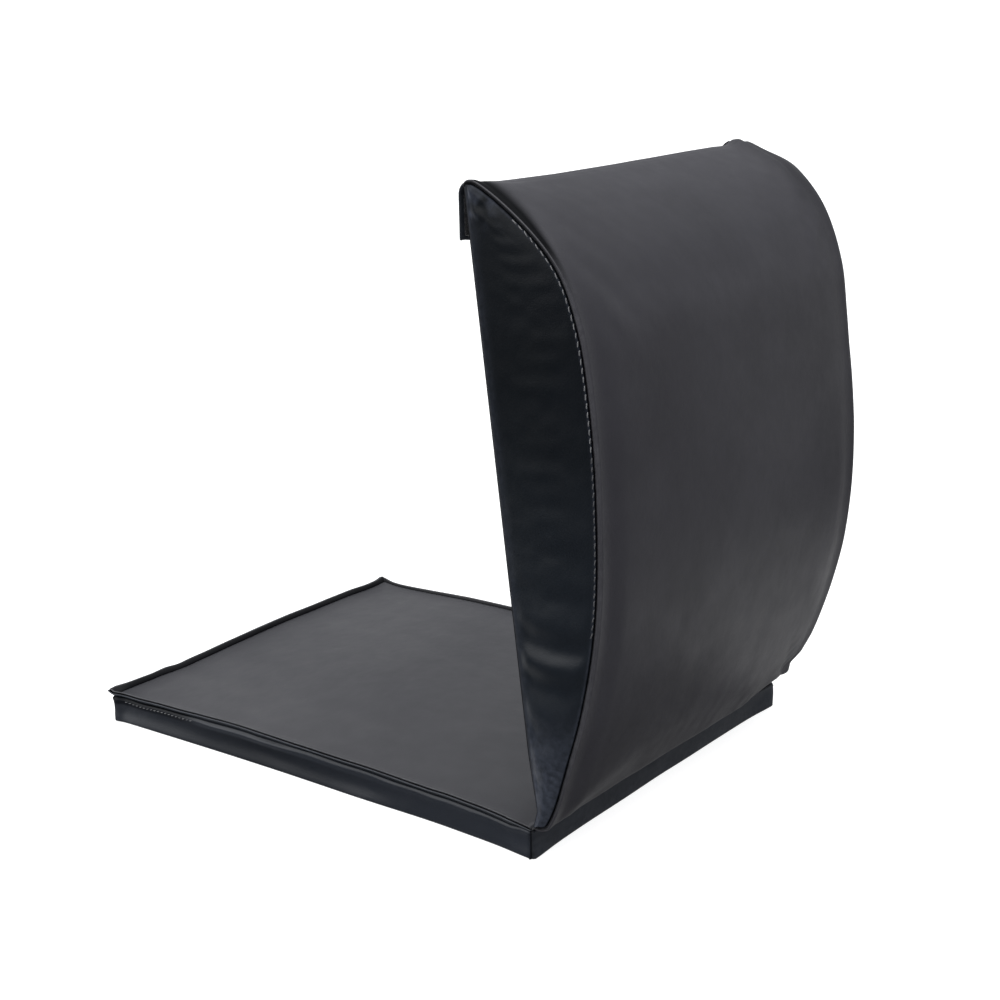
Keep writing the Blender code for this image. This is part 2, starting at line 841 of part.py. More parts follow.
def build():
    for item in list(bpy.data.objects):
        bpy.data.objects.remove(item)
    lean = math.pi / 2 - FOLD_ANGLE
    hinge = make_empty("arch_hinge", (0, SEAT_FRONT, SEAT_HEIGHT), -lean)
    hanger = make_empty("flap_hinge", flap_axis(), lean, hinge)
    make_seat_pad()
    make_arch_pad(hinge)
    make_flap(hanger)
    make_hook_strip(hanger)


build()
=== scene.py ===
import math

import bmesh
import bpy
import numpy as np
from mathutils import Matrix, Vector


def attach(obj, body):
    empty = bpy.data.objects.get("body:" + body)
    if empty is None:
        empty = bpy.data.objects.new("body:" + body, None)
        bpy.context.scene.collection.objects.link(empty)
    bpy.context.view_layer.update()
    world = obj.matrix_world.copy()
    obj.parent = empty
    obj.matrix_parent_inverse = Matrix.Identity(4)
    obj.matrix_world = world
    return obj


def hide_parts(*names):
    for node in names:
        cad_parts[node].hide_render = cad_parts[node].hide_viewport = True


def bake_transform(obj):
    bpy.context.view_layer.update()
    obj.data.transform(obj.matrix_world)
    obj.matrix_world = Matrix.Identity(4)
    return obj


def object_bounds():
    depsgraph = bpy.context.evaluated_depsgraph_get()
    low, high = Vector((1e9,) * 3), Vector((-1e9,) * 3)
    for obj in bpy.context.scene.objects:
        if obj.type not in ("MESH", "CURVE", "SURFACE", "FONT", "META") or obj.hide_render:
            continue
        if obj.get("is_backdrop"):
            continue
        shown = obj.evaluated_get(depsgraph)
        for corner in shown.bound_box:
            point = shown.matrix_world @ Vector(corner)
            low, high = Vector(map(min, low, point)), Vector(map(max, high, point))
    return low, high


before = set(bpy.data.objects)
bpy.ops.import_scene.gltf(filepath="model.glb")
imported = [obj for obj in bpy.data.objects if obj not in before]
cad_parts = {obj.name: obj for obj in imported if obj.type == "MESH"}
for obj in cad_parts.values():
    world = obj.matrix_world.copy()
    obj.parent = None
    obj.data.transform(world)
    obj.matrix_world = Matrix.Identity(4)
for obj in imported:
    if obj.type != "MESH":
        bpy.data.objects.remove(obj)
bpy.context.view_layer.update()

MM = 0.001

# Seat pad, as in the CAD: size, corners, drawn-in sides and the standing lip
SEAT_WIDTH = 300 * MM
SEAT_LENGTH = 378 * MM
SEAT_HEIGHT = 19 * MM
SEAT_HALF = SEAT_WIDTH / 2
SEAT_REAR = SEAT_LENGTH / 2
SEAT_FRONT = -SEAT_LENGTH / 2
REAR_CORNER = 2.4 * MM
FRONT_CORNER = 1.3 * MM
LEFT_DRAW = 4.5 * MM
RIGHT_DRAW = 1.5 * MM
REAR_DRAW = 2 * MM
FRONT_DRAW = 1.5 * MM
HINGE_LEAF = 14 * MM

# Tip of the lip along its three sides, as (place, height), in millimetres
LEFT_TIP = (
    (-189, 19.8), (-183, 21.6), (-176, 23.2), (-168, 24.2), (-150, 25.0), (-120, 25.3), (-60, 25.0),
    (0, 25.3), (52, 25.2), (82, 24.9), (112, 24.3), (142, 23.6), (165, 23.2), (180, 23.6), (192, 24.6),
)
RIGHT_TIP = (
    (-189, 19.8), (-183, 21.6), (-176, 23.2), (-168, 24.2), (-150, 24.8), (-120, 25.6), (-60, 27.2),
    (0, 28.8), (40, 29.4), (56, 29.4), (74, 28.9), (95, 28.2), (116, 27.3), (138, 26.3), (160, 25.2),
    (172, 24.9), (182, 25.4), (192, 27.0),
)
REAR_TIP = (
    (-153, 25.6), (-140, 26.0), (-128, 26.0), (-115, 25.7), (-103, 26.4), (-90, 25.0), (-75, 26.0),
    (-53, 26.9), (-32, 27.9), (-10, 28.7), (13, 29.2), (36, 29.5), (60, 29.0), (84, 28.9), (109, 28.5),
    (128, 27.3), (140, 27.5), (153, 28.6),
)
LIP_RISE = 5.2 * MM
LIP_FACE = 4.4 * MM
LIP_INSET = 0.4 * MM
LEFT_SLOPE = math.radians(50)
REAR_SLOPE = math.radians(66)
RIGHT_SLOPE = math.radians(60)
CORNER_FLARE = math.radians(16)

# Arch pad, as in the CAD, measured from its flat side
ARCH_LENGTH = 396 * MM
ARCH_DEPTH = 74 * MM
ARCH_HALF = 155 * MM
FOOT_RUN = 60 * MM
CROWN = 2 * MM
SET_CROWN = 0.25
SAG_RUN = 80 * MM
SIDE_SAG_RUN = 25 * MM

# Drop of the top edge, as (x, drop), and swelling of the right rim, as (along, lift), in millimetres
TOP_DROP = (
    (-155, -1.8), (-149, -2.8), (-144, -1.3), (-140, -0.1), (-124, 1.2), (-108, 1.7), (-70, 2.5),
    (-25, 2.8), (0, 2.9), (42, 2.8), (88, 2.6), (115, 2.5), (124, 2.9), (131, 2.8), (137, 0.9),
    (141, -1.3), (145, -1.0), (149, 0.7), (155, 3.0),
)
RIGHT_RIM = (
    (0, 0), (60, 0), (82, 0.9), (111, 2.1), (141, 1.9), (170, 1.9), (198, 1.6), (226, 0.2), (254, -1.3),
    (281, -1.0), (301, 0), (336, 0.2), (350, 1.1), (362, 2.1), (371, 2.6), (379, 2.4), (385, 0.6),
    (391, -0.6), (396, -0.4),
)
SIDE_BULGE = 3 * MM
FLAT_OFFSET = 6 * MM
LEAN = math.radians(6.5)
BACK_SWELL = 2.9 * MM
BACK_ROUND = 0.8 * MM
OUTLINE_SHARES = (
    (0.0010, 0.020), (0.0050, 0.085), (0.020, 0.150), (0.060, 0.275), (0.200, 0.615),
    (0.360, 0.860), (0.540, 0.975), (0.680, 0.995), (0.790, 0.950), (0.870, 0.820),
    (0.935, 0.555), (0.985, 0.220), (1.000, 0.080),
)

# Small folds that draw the right rim in at the foot, as (along, draw), in millimetres
RIGHT_FOOT = (
    (0, 7.8), (2, 7.0), (5, 4.7), (8, 3.3), (11, 4.3), (14, 5.4), (18, 4.2), (25, 2.0), (40, 0.3), (60, 0),
)

# Closure flap
FLAP_PIVOT = (-148.346 * MM, 410.940 * MM)
FLAP_HALF_WIDTH = 152 * MM
FLAP_PULL = 4.4 * MM


# Numbers and curves

def ease(share):
    share = np.clip(share, 0, 1)
    return share * share * (3 - 2 * share)


def bump(distance, width):
    return np.exp(-(distance / width) ** 2)


def spline_weights(t):
    return (
        (1 - t) ** 3 / 6,
        (3 * t ** 3 - 6 * t ** 2 + 4) / 6,
        (-3 * t ** 3 + 3 * t ** 2 + 3 * t + 1) / 6,
        t ** 3 / 6,
    )


def soft_noise(u, v, seed, size=64):
    """Smooth noise from about -1 to 1, with one swelling to a unit of u and of v."""
    table = np.random.default_rng(seed).uniform(-1, 1, (size, size))
    first, second = np.floor(u).astype(int), np.floor(v).astype(int)
    across, along = spline_weights(u - first), spline_weights(v - second)
    total = np.zeros(np.broadcast(u, v).shape)
    for a in range(4):
        for b in range(4):
            total += across[a] * along[b] * table[(first + a) % size, (second + b) % size]
    return total * 1.9


# Unevenness of the cloth: seed, length of a swelling both ways in millimetres, and shift both ways
UNEVEN = {
    "front_waves": (3, 70, 55, 9, 0),
    "front_ripples": (4, 16, 60, 9, 0),
    "edge_wear_and_highlight": (5, 18, 1, 0, 0),
    "side_waves": (11, 26, 40, 0, 0),
    "crinkles": (12, 4.5, 5, 0, 0),
    "fold_places": (13, 30, 26, 0, 0),
    "fold_heights": (14, 18, 24, 0, 0),
    "crinkle_glints": (15, 3, 3.5, 0, 0),
    "back_waves": (21, 60, 48, 5, 0),
    "lip_height": (32, 13, 12, 20, 20),
    "lip_slope": (33, 26, 24, 7, 7),
    "band_bulge": (35, 14, 14, 0, 0),
    "band_waves": (41, 24, 15, 3, 0),
    "front_band_waves": (43, 30, 15, 13, 0),
    "seat_waves": (51, 75, 85, 4, 4),
    "seat_ripples": (52, 22, 28, 4, 4),
    "bottom_waves": (55, 40, 40, 0, 0),
    "bottom_patches": (56, 90, 90, 0, 0),
    "flap_wave": (61, 38, 1, 6, 3.3),
}


def uneven(kind, u, v=0.0):
    """Smooth noise of one kind at places in metres."""
    seed, run_u, run_v, shift_u, shift_v = UNEVEN[kind]
    return soft_noise(u / (run_u * MM) + shift_u, v / (run_v * MM) + shift_v, seed)


def unit(vectors):
    return vectors / np.linalg.norm(vectors, axis=-1, keepdims=True)


def curve_through(points, steps):
    """Centripetal curve through the points."""
    points = np.array(points, float)
    knots = np.vstack([points[0] * 2 - points[1], points, points[-1] * 2 - points[-2]])
    line = []
    for k in range(1, len(knots) - 2):
        span = knots[k - 1:k + 3]
        chords = np.linalg.norm(np.diff(span, axis=0), axis=1)
        times = np.concatenate([[0], np.cumsum(np.sqrt(chords))])
        for step in range(steps):
            now = times[1] + (times[2] - times[1]) * step / steps
            a = [lerp(span[i], span[i + 1], (now - times[i]) / (times[i + 1] - times[i])) for i in range(3)]
            b = [lerp(a[i], a[i + 1], (now - times[i]) / (times[i + 2] - times[i])) for i in range(2)]
            line.append(lerp(b[0], b[1], (now - times[1]) / (times[2] - times[1])))
    return np.array([*line, points[-1]])


def lerp(first, second, share):
    return first + (second - first) * share


def lengths_along(line):
    return np.concatenate([[0], np.cumsum(np.linalg.norm(np.diff(line, axis=0), axis=1))])


def resampled(line, places):
    """Points of a polyline at places measured along it."""
    run = lengths_along(line)
    return np.stack([np.interp(places, run, line[:, k]) for k in range(line.shape[1])], -1)


def spaced(total, coarse, fine, edge):
    """Places from 0 to total, fine steps within the edge of both ends and coarse between."""
    low = np.arange(0, edge, fine)
    count = max(int(round((total - 2 * edge) / coarse)), 1)
    middle = np.linspace(edge, total - edge, count + 1)
    high = total - low[::-1]
    return np.concatenate([low, middle, high])


# Meshes

def grid_normals(points):
    down = np.gradient(points, axis=0)
    across = np.gradient(points, axis=1)
    normal = np.cross(across, down)
    size = np.linalg.norm(normal, axis=-1, keepdims=True)
    return normal / np.maximum(size, 1e-12)


def new_object(name, vertices, faces, wear_and_highlight=None, shade=None):
    """Mesh object with two painted values: one lighter where the cloth is scuffed or a highlight is painted,
    and shade, where shade is painted dark.
    """
    data = bpy.data.meshes.new(name)
    data.from_pydata(vertices.tolist(), [], faces.tolist())
    data.update()
    data.shade_smooth()
    for key, values in (("wear_and_highlight", wear_and_highlight), ("shade", shade)):
        if values is not None:
            layer = data.attributes.new(key, "FLOAT", "POINT")
            layer.data.foreach_set("value", np.clip(values, 0, 1).astype(np.float32).ravel())
    item = bpy.data.objects.new(name, data)
    bpy.context.scene.collection.objects.link(item)
    return item


def grid_faces(rows, columns, flip=False):
    index = np.arange(rows * columns).reshape(rows, columns)
    corners = [index[:-1, :-1], index[:-1, 1:], index[1:, 1:], index[1:, :-1]]
    if flip:
        corners.reverse()
    return np.stack(corners, -1).reshape(-1, 4)


def grid_piece(name, points, outward, wear_and_highlight=None, shade=None, column=None):
    """Surface over a grid of points, its faces turned towards outward at the column, or at the middle."""
    rows, columns = points.shape[:2]
    middle = grid_normals(points)[rows // 2, column or columns // 2]
    flip = float(np.dot(middle, outward)) < 0
    return new_object(name, points.reshape(-1, 3), grid_faces(rows, columns, flip), wear_and_highlight, shade)


# Cloth simulation

SIM_FRAMES = 12
SIM_MASS = 0.01
SIM_STIFFNESS = 15
SIM_BENDING = 4
SIM_QUALITY = 6


def spread_matrix(coarse, fine):
    """Weights that carry values at coarse places of a line smoothly over to its fine places."""
    weights = np.zeros((len(fine), len(coarse)))
    cell = np.clip(np.searchsorted(coarse, fine, side="right") - 1, 0, len(coarse) - 2)
    t = (fine - coarse[cell]) / (coarse[cell + 1] - coarse[cell])
    parts = (
        (-t + 2 * t ** 2 - t ** 3) / 2, (2 - 5 * t ** 2 + 3 * t ** 3) / 2,
        (t + 4 * t ** 2 - 3 * t ** 3) / 2, (-t ** 2 + t ** 3) / 2,
    )
    for shift, part in zip((-1, 0, 1, 2), parts):
        column = np.clip(cell + shift, 0, len(coarse) - 1)
        np.add.at(weights, (np.arange(len(fine)), column), part)
    return weights


def swelling(points, row_picks, column_picks, outward, pressure, growth, cap):
    """Shift of a grid's points when its cloth, held along its seams, is blown up by the padding.

    The cloth is simulated on the picked rows and columns, whose outermost ones are the seams."""
    rows, columns = picked(points.shape[0], *row_picks), picked(points.shape[1], *column_picks)
    coarse = points[np.ix_(rows, columns)]
    item = grid_piece("swelling", coarse, outward)
    held = np.zeros(coarse.shape[:2], bool)
    held[[0, -1]] = True
    held[:, [0, -1]] = True
    group = item.vertex_groups.new(name="seams")
    group.add(np.flatnonzero(held.ravel()).tolist(), 1.0, "REPLACE")
    cloth = item.modifiers.new("cloth", "CLOTH")
    settings = cloth.settings
    settings.vertex_group_mass = "seams"
    settings.mass = SIM_MASS
    settings.quality = SIM_QUALITY
    settings.tension_stiffness = SIM_STIFFNESS
    settings.compression_stiffness = SIM_STIFFNESS
    settings.shear_stiffness = SIM_STIFFNESS / 3
    settings.bending_stiffness = SIM_BENDING
    settings.shrink_min = -growth
    settings.use_pressure = True
    settings.uniform_pressure_force = pressure
    settings.effector_weights.gravity = 0
    cloth.point_cache.frame_start = 1
    cloth.point_cache.frame_end = SIM_FRAMES
    for frame_number in range(1, SIM_FRAMES + 1):
        bpy.context.scene.frame_set(frame_number)
    settled = item.evaluated_get(bpy.context.evaluated_depsgraph_get()).data
    places = np.empty(coarse.size, np.float32)
    settled.vertices.foreach_get("co", places)
    moved = places.reshape(coarse.shape) - coarse
    size = np.linalg.norm(moved, axis=-1, keepdims=True)
    moved = moved * cap * np.tanh(size / cap) / np.maximum(size, 1e-9)
    moved[held] = 0
    bpy.data.objects.remove(item)
    bpy.context.scene.frame_set(1)
    row_span, column_span = (slice(lines[0], lines[-1] + 1) for lines in (rows, columns))
    down = spread_matrix(rows.astype(float), np.arange(rows[0], rows[-1] + 1, dtype=float))
    over = spread_matrix(columns.astype(float), np.arange(columns[0], columns[-1] + 1, dtype=float))
    shift = np.zeros_like(points)
    shift[row_span, column_span] = np.einsum("ra,sb,abk->rsk", down, over, moved)
    return shift


def picked(total, first, last, count):
    """Whole numbers spread evenly from first to last. A negative last counts from the end of the total."""
    return np.unique(np.round(np.linspace(first, last % total, count)).astype(int))


# Frame of the arch pad

HINGE_Y = SEAT_FRONT
HINGE_Z = SEAT_HEIGHT


def arch_world(x, along, out):
    """Place of a point of the arch pad, leaning back about the hinge line."""
    level = out + FLAT_OFFSET
    y = HINGE_Y - level * math.cos(LEAN) + along * math.sin(LEAN)
    z = HINGE_Z + level * math.sin(LEAN) + along * math.cos(LEAN)
    return np.stack(np.broadcast_arrays(x, y, z), -1)


def half_width(along):
    return lerp(SEAT_HALF, ARCH_HALF, ease(along / FOOT_RUN))


def crown(along, share):
    """Crown of the cover where it isn't simulated."""
    foot = ease(along / FOOT_RUN)
    top = ease((ARCH_LENGTH - along) / SAG_RUN)
    return CROWN * (1 - np.abs(share) ** 6) * foot * top


def from_table(table, place, blur=5 * MM):
    """Smoothed value of a table of (place, value) in millimetres."""
    places = np.array([row[0] for row in table]) * MM
    values = np.array([row[1] for row in table]) * MM
    offsets = np.linspace(-1, 1, 9) * blur
    return sum(np.interp(place + offset, places, values) for offset in offsets) / len(offsets)


def sag(along, share):
    """Drop of the top edge, carried down the pad for a shorter way near its sides."""
    run = lerp(SIDE_SAG_RUN, SAG_RUN, 1 - np.abs(share) ** 4)
    return from_table(TOP_DROP, share * ARCH_HALF, 3 * MM) * ease((along - ARCH_LENGTH + run) / run)


def rim_swell(along, share):
    """Outward lift of the cover towards its right rim, drawn back in small folds at the foot."""
    lift = from_table(RIGHT_RIM, along, 6 * MM) * ease((share - 0.45) / 0.55)
    return lift - from_table(RIGHT_FOOT, along, 1 * MM) * ease((share - 0.55) / 0.42)


COVER_GAP = 0.3 * MM


def flat_side(along):
    """Level of the flat cover: up to the hinge line at its foot, and swollen towards its top."""
    level = (COVER_GAP - FLAT_OFFSET) * (1 - np.minimum(along / HINGE_LEAF, 1))
    level = level - BACK_ROUND * ease(along / FOOT_RUN)
    return level - BACK_SWELL * np.clip((along - FOOT_RUN) / (ARCH_LENGTH - FOOT_RUN), 0, 1)


# Ends of the curved panel's outline, turned in at the foot and at the top, as (along, out) in millimetres
FOOT_TURN = ((0.6, -3.1), (0.4, -1.0), (0.4, 0.8))
TOP_TURN = ((396.4, 3.0), (396.2, 0.6), (395.2, -1.2), (393.6, -2.2))
ROW_STEP = 2 * MM
FINE_ROW_STEP = 0.5 * MM
FINE_ROW_RUN = 12 * MM


def arch_path():
    """Rows of the curved panel: (along, out) places, their outward normals, and lengths along them."""
    outline = [(a * ARCH_LENGTH, o * ARCH_DEPTH) for a, o in OUTLINE_SHARES]
    foot, top = ([(a * MM, o * MM) for a, o in turn] for turn in (FOOT_TURN, TOP_TURN))
    line = curve_through([*foot, *outline, *top], 24)
    places = spaced(lengths_along(line)[-1], ROW_STEP, FINE_ROW_STEP, FINE_ROW_RUN)
    rows = resampled(line, places)
    run = unit(np.gradient(rows, axis=0))
    return rows, np.stack([-run[:, 1], run[:, 0]], -1), places


# Cover of the curved panel: rolled edges over a groove, a valley along them, and their reaches
EDGE_ROLL = 1.25 * MM
GROOVE_IN = 2.0 * MM
GROOVE_DEEP = 2.9 * MM
EDGE_COLUMNS = (1.9, 2.6, 3.4, 4.4, 5.6, 7.0, 8.6, 10.4, 12.6, 15.2, 18.4, 22.0)
EDGE_RIDGE = 0.25 * MM
EDGE_RIDGE_PLACE = 2.5 * MM
VALLEY = 0.45 * MM
VALLEY_PLACE = 9 * MM
TOP_VALLEY = 1.2 * MM
EAR = 0.3 * MM
EAR_WIDTH = 6 * MM
FRONT_COLUMNS = 92
FOOT_REACH = 70 * MM
TOP_REACH = 60 * MM
TOP_VALLEY_REACH = 75 * MM
PLEAT = 0.22 * MM
PLEAT_RUN = 17 * MM
# Reach of the painted shade beside the left ridge, low down and at the top
PAINTED_SHADE_LEAST = 4 * MM
PAINTED_SHADE_MOST = 23 * MM


def edge_profile():
    """Left edge of the curved panel, inwards: distances from the side and heights on the normal."""
    turns = np.radians(np.linspace(-70, 90, 9))
    inward = [GROOVE_IN, *(EDGE_ROLL - EDGE_ROLL * np.cos(turns)), *(np.array(EDGE_COLUMNS) * MM)]
    height = [-GROOVE_DEEP, *(EDGE_ROLL * np.sin(turns) - EDGE_ROLL), *np.zeros(len(EDGE_COLUMNS))]
    return np.array(inward), np.array(height)


def arch_front_points(path, normals, places):
    """Points of the curved panel, with their scuffing and painted highlights, and their painted shade."""
    inward, height = edge_profile()
    middle = np.linspace(-1, 1, FRONT_COLUMNS + 2)[1:-1]
    along, out = path[:, :1], path[:, 1:]
    half = half_width(along)
    left = inward[None, :] - half
    x = np.concatenate([left, middle[None, :] * (half - inward[-1]), -left[:, ::-1]], 1)
    edge = np.concatenate([height, 0 * middle, height[::-1]])[None, :]
    share = np.clip(x / half, -1, 1)
    from_side = np.maximum(half - np.abs(x), 0)
    place = places[:, None]
    from_top = places[-1] - place
    inner = ease((from_side - EDGE_ROLL) / (1.5 * MM))
    near_foot = bump(along, FOOT_REACH)
    near_top = bump(from_top - 6 * MM, TOP_REACH)

    lift = edge + crown(along, share) * SET_CROWN
    lift = lift + EDGE_RIDGE * bump(from_side - EDGE_RIDGE_PLACE, 1.5 * MM) * inner * (1 - near_top)
    lift = lift - VALLEY * (1 + 0.8 * near_foot) * bump(from_side - VALLEY_PLACE, 4.5 * MM)
    deep = TOP_VALLEY * bump(from_top - 12 * MM, TOP_VALLEY_REACH)
    lift = lift - deep * bump(from_side - 8 * MM, 5.5 * MM)
    ripples = 0.22 * MM * uneven("front_ripples", x, place) * (0.3 + near_foot)
    pleats = PLEAT * np.sin(from_side / PLEAT_RUN * 2 * math.pi - 1.2) * bump(from_side - 8 * MM, 22 * MM)
    pleats = pleats * bump(along - 30 * MM, 75 * MM) * (share < 0)
    lift = lift + (0.35 * MM * uneven("front_waves", x, place) + ripples + pleats) * inner
    ears = EAR * bump(from_side, EAR_WIDTH) * bump(from_top - 5 * MM, EAR_WIDTH) * (share < 0)
    lift = lift + ears + rim_swell(along, share)
    points = arch_world(x, along + normals[:, :1] * lift - sag(along, share), out + normals[:, 1:] * lift)

    # Painted shade beside the left ridge, widest at the top where the valley along the seam lies in shade,
    # but not on the thin highlight line of the roll
    reach = lerp(PAINTED_SHADE_LEAST, PAINTED_SHADE_MOST, near_top)
    shade = ease((reach - from_side) / (0.55 * reach)) * ease(near_top / 0.35) * (share < 0)
    shade = shade * (1 - bump(from_side - 0.45 * MM, 0.3 * MM))
    # Lighter: scuffing with a painted highlight line along the rolled edges, and painted highlights along
    # the top edge and the foot's rolled rim
    wear_and_highlight = bump(from_side - EDGE_ROLL, 1.3 * MM) * (0.7 + 0.3 * uneven("edge_wear_and_highlight", place))
    wear_and_highlight = wear_and_highlight * (1 - 0.92 * shade)
    wear_and_highlight = wear_and_highlight + (0.4 * bump(from_top - 3 * MM, 3 * MM) + 0.5 * bump(place - 5 * MM, 1.6 * MM)) * inner
    # Painted shade in a strip along the right rim, high up
    right_rim = ease((30 * MM - from_side) / (24 * MM)) * (share > 0)
    shade = shade + 0.4 * bump(from_top - 42 * MM, 50 * MM) * right_rim
    # Painted shade down in the seam groove
    groove = ease((-0.9 * MM - edge) / (0.8 * MM))
    return points, wear_and_highlight, np.maximum(shade, groove)


# Gusset: columns beside its seam in millimetres, and columns over the rest of its width
SIDE_COLUMNS = (0.0, 0.25, 0.6, 1.0, 1.3, 1.6, 2.0, 2.6, 3.6, 5.2, 7.4, 10.5)
SIDE_MIDDLE = 22
SIDE_INSET = 2.6 * MM
SIDE_ROLL = 1.3 * MM
STITCH_PLACE = 1.3 * MM
STITCH_DENT = 0.28 * MM
# Gusset stitches run from low to high; the ones below the middle place use the seam thread painted darker
# with shade
STITCHES_LOW = 130 * MM
STITCHES_SHADED_BELOW = 240 * MM
STITCHES_HIGH = 379 * MM
SIDE_FOOT = 1.5 * MM
SIDE_TOP = 393.8 * MM
BACK_TURNS = 6

# Columns hidden behind the gusset's back edge: inset and sink, in millimetres
BEHIND = ((0.3, 0.0), (1.0, 0.25), (1.7, 0.9))


def back_radius(along):
    return lerp(0.8 * MM, 5 * MM, ease(along / FOOT_RUN))


def arch_side_points(path, normals, side):
    """Gusset: from inside the seam groove over to the flat side, round its back edge."""
    last = int(np.argmax(path[:, 0])) + 1
    path, normals = path[:last], normals[:last]
    start = path + normals * (rim_swell(path[:, :1], side) - SIDE_INSET)
    drop = sag(path[:, 0], side)
    start[:, 0] -= drop
    edge_along = np.maximum.accumulate(np.clip(start[:, 0], SIDE_FOOT, SIDE_TOP - drop[-1]))
    radius = back_radius(edge_along)
    end = np.stack([edge_along, flat_side(edge_along) + radius], -1)
    reach = np.linalg.norm(end - start, axis=1)[:, None]
    first = start - normals * reach * 0.3
    second = end + np.array([[0, 1.0]]) * reach * 0.3
    near = np.array(SIDE_COLUMNS) * MM / reach
    near = np.minimum(near, np.linspace(0, 0.45, len(SIDE_COLUMNS)))
    rest = np.linspace(0, 1, SIDE_MIDDLE + 1)[1:]
    share = np.concatenate([near, near[:, -1:] + (1 - near[:, -1:]) * rest], 1)
    t = share[:, :, None]
    flat = (
        (1 - t) ** 3 * start[:, None] + 3 * (1 - t) ** 2 * t * first[:, None]
        + 3 * (1 - t) * t ** 2 * second[:, None] + t ** 3 * end[:, None]
    )
    along, out = flat[..., 0], flat[..., 1]
    run = share * reach
    rows = np.linspace(0, 1, len(path))[:, None]
    bulge = SIDE_BULGE * np.sin(np.pi * (1 - share)) * np.sin(np.pi * rows) ** 0.5
    roll = np.clip(1 - run / SIDE_ROLL, 0, 1)
    x = half_width(along) - SIDE_ROLL * (1 - np.sqrt(1 - roll * roll)) + bulge * ease(run / (6 * MM))
    x = x - STITCH_DENT * bump(run - STITCH_PLACE, 0.8 * MM) + side_folds(along, out, share, run)

    points = [arch_world(side * x, along, out)]
    turns = np.radians(np.linspace(0, 90, BACK_TURNS + 1))[1:]
    back = [(radius * math.cos(turn), -radius * math.sin(turn)) for turn in turns]
    back += [(-inset * MM, sink * MM - radius) for inset, sink in BEHIND]
    for shift, level in back:
        place = arch_world(side * (x[:, -1] - radius + shift), edge_along, end[:, 1] + level)
        points.append(place[:, None])
    points = np.concatenate(points, 1)

    count = share.shape[1]
    wear_and_highlight, shade = np.zeros((2, *points.shape[:2]))
    # Lighter: a painted highlight beside the seam and along the back edge, lighter towards the foot, painted
    # glints at the crinkled top corner, and the back roll scuffed and painted with a highlight
    glint_specks = np.clip(0.45 + 0.9 * uneven("crinkle_glints", along, out), 0, 1.3)
    wear_and_highlight[:, :count] = 0.4 * bump(run - 1.5 * MM, 0.7 * MM) + 0.3 * bump(reach - run, 4 * MM)
    wear_and_highlight[:, :count] += ease((95 * MM - along) / (70 * MM)) * ease(run / (3 * MM))
    wear_and_highlight[:, :count] += 1.2 * glint_specks * top_corner(along, out, 11 * MM) * ease(run / (1.5 * MM))
    wear_and_highlight[:, count:count + 2] = (0.35, 0.18)
    # Painted shade: down in the seam groove, growing towards the top, and on the back roll at the outline
    # and behind it
    groove = 1 - ease((run - 0.6 * MM) / (0.7 * MM))
    shade[:, :count] = np.maximum(groove, 0.55 * ease((along - 150 * MM) / (150 * MM)))
    shade[:, count:] = 1
    shade[:, count] = 0.3
    return points, wear_and_highlight, shade


# Soft folds low on the gusset: (place, turn of the wave, height in millimetres)
FOLDS = (
    (0, -1.5, 0.2), (19, -1, 0.4), (53, 1, 0.9), (87, 3, 0.7), (117, 5, 1.7), (147, 7, 0.5), (175, 9, 0.15),
    (400, 25, 0),
)
CRINKLE = 1.3 * MM


def top_corner(along, out, reach):
    """1 at the gusset's crinkled top corner, and less around it."""
    return bump(along - 386 * MM, reach) * bump(out - 5 * MM, 18 * MM)


def side_folds(along, out, share, run):
    """Soft sideways folds low on the gusset and small crinkles at its top corner."""
    places, turns, heights = np.array(FOLDS).T
    place = (along + 0.16 * out - 6 * MM) / MM + uneven("fold_places", along, out)
    folds = np.interp(place, places, heights) * MM * np.sin(np.interp(place, places, turns) * math.pi)
    folds = folds * (1 + 0.15 * uneven("fold_heights", along, out))
    low = 0.3 + bump(along - 75 * MM, 60 * MM)
    folds = folds + 0.25 * MM * uneven("side_waves", along, out) * low
    crinkles = CRINKLE * uneven("crinkles", along, out) * top_corner(along, out, 12 * MM)
    folds = folds * ease(run / (9 * MM)) * ease((1 - share) / 0.16)
    return folds + crinkles * ease(run / (3 * MM)) * ease((1 - share) / 0.25)


BACK_TOP = 393.9 * MM
BACK_COLUMNS = 80
BACK_EDGE_SHARES = (0.96, 0.985, 0.995, 1)


def arch_back_points():
    """Points of the flat cover, hollowed behind the closure flap, with their wear."""
    along = spaced(BACK_TOP - HINGE_LEAF, 3 * MM, 1 * MM, 4 * MM)[:, None] + HINGE_LEAF
    edge = np.array(BACK_EDGE_SHARES)
    share = np.concatenate([-edge[::-1], np.linspace(-0.93, 0.93, BACK_COLUMNS), edge])
    half = half_width(along) - back_radius(along) - 1.0 * MM
    x = share[None, :] * half
    inset = half - np.abs(x)
    soft = ease(inset / (12 * MM))
    out = flat_side(along) + 0.45 * MM * bump(inset, 1.2 * MM)
    out = out - (0.5 * MM * uneven("back_waves", x, along) + 0.25 * MM) * soft
    behind_flap = ease((along - 345 * MM) / (14 * MM)) * ease((394.5 * MM - along) / (12 * MM))
    out = out + FLAP_PULL * behind_flap * ease((inset - 1 * MM) / (10 * MM))
    return arch_world(x, along - sag(along, x / ARCH_HALF), out), 0.3 * bump(inset, 2 * MM)


# Frame of the seat pad

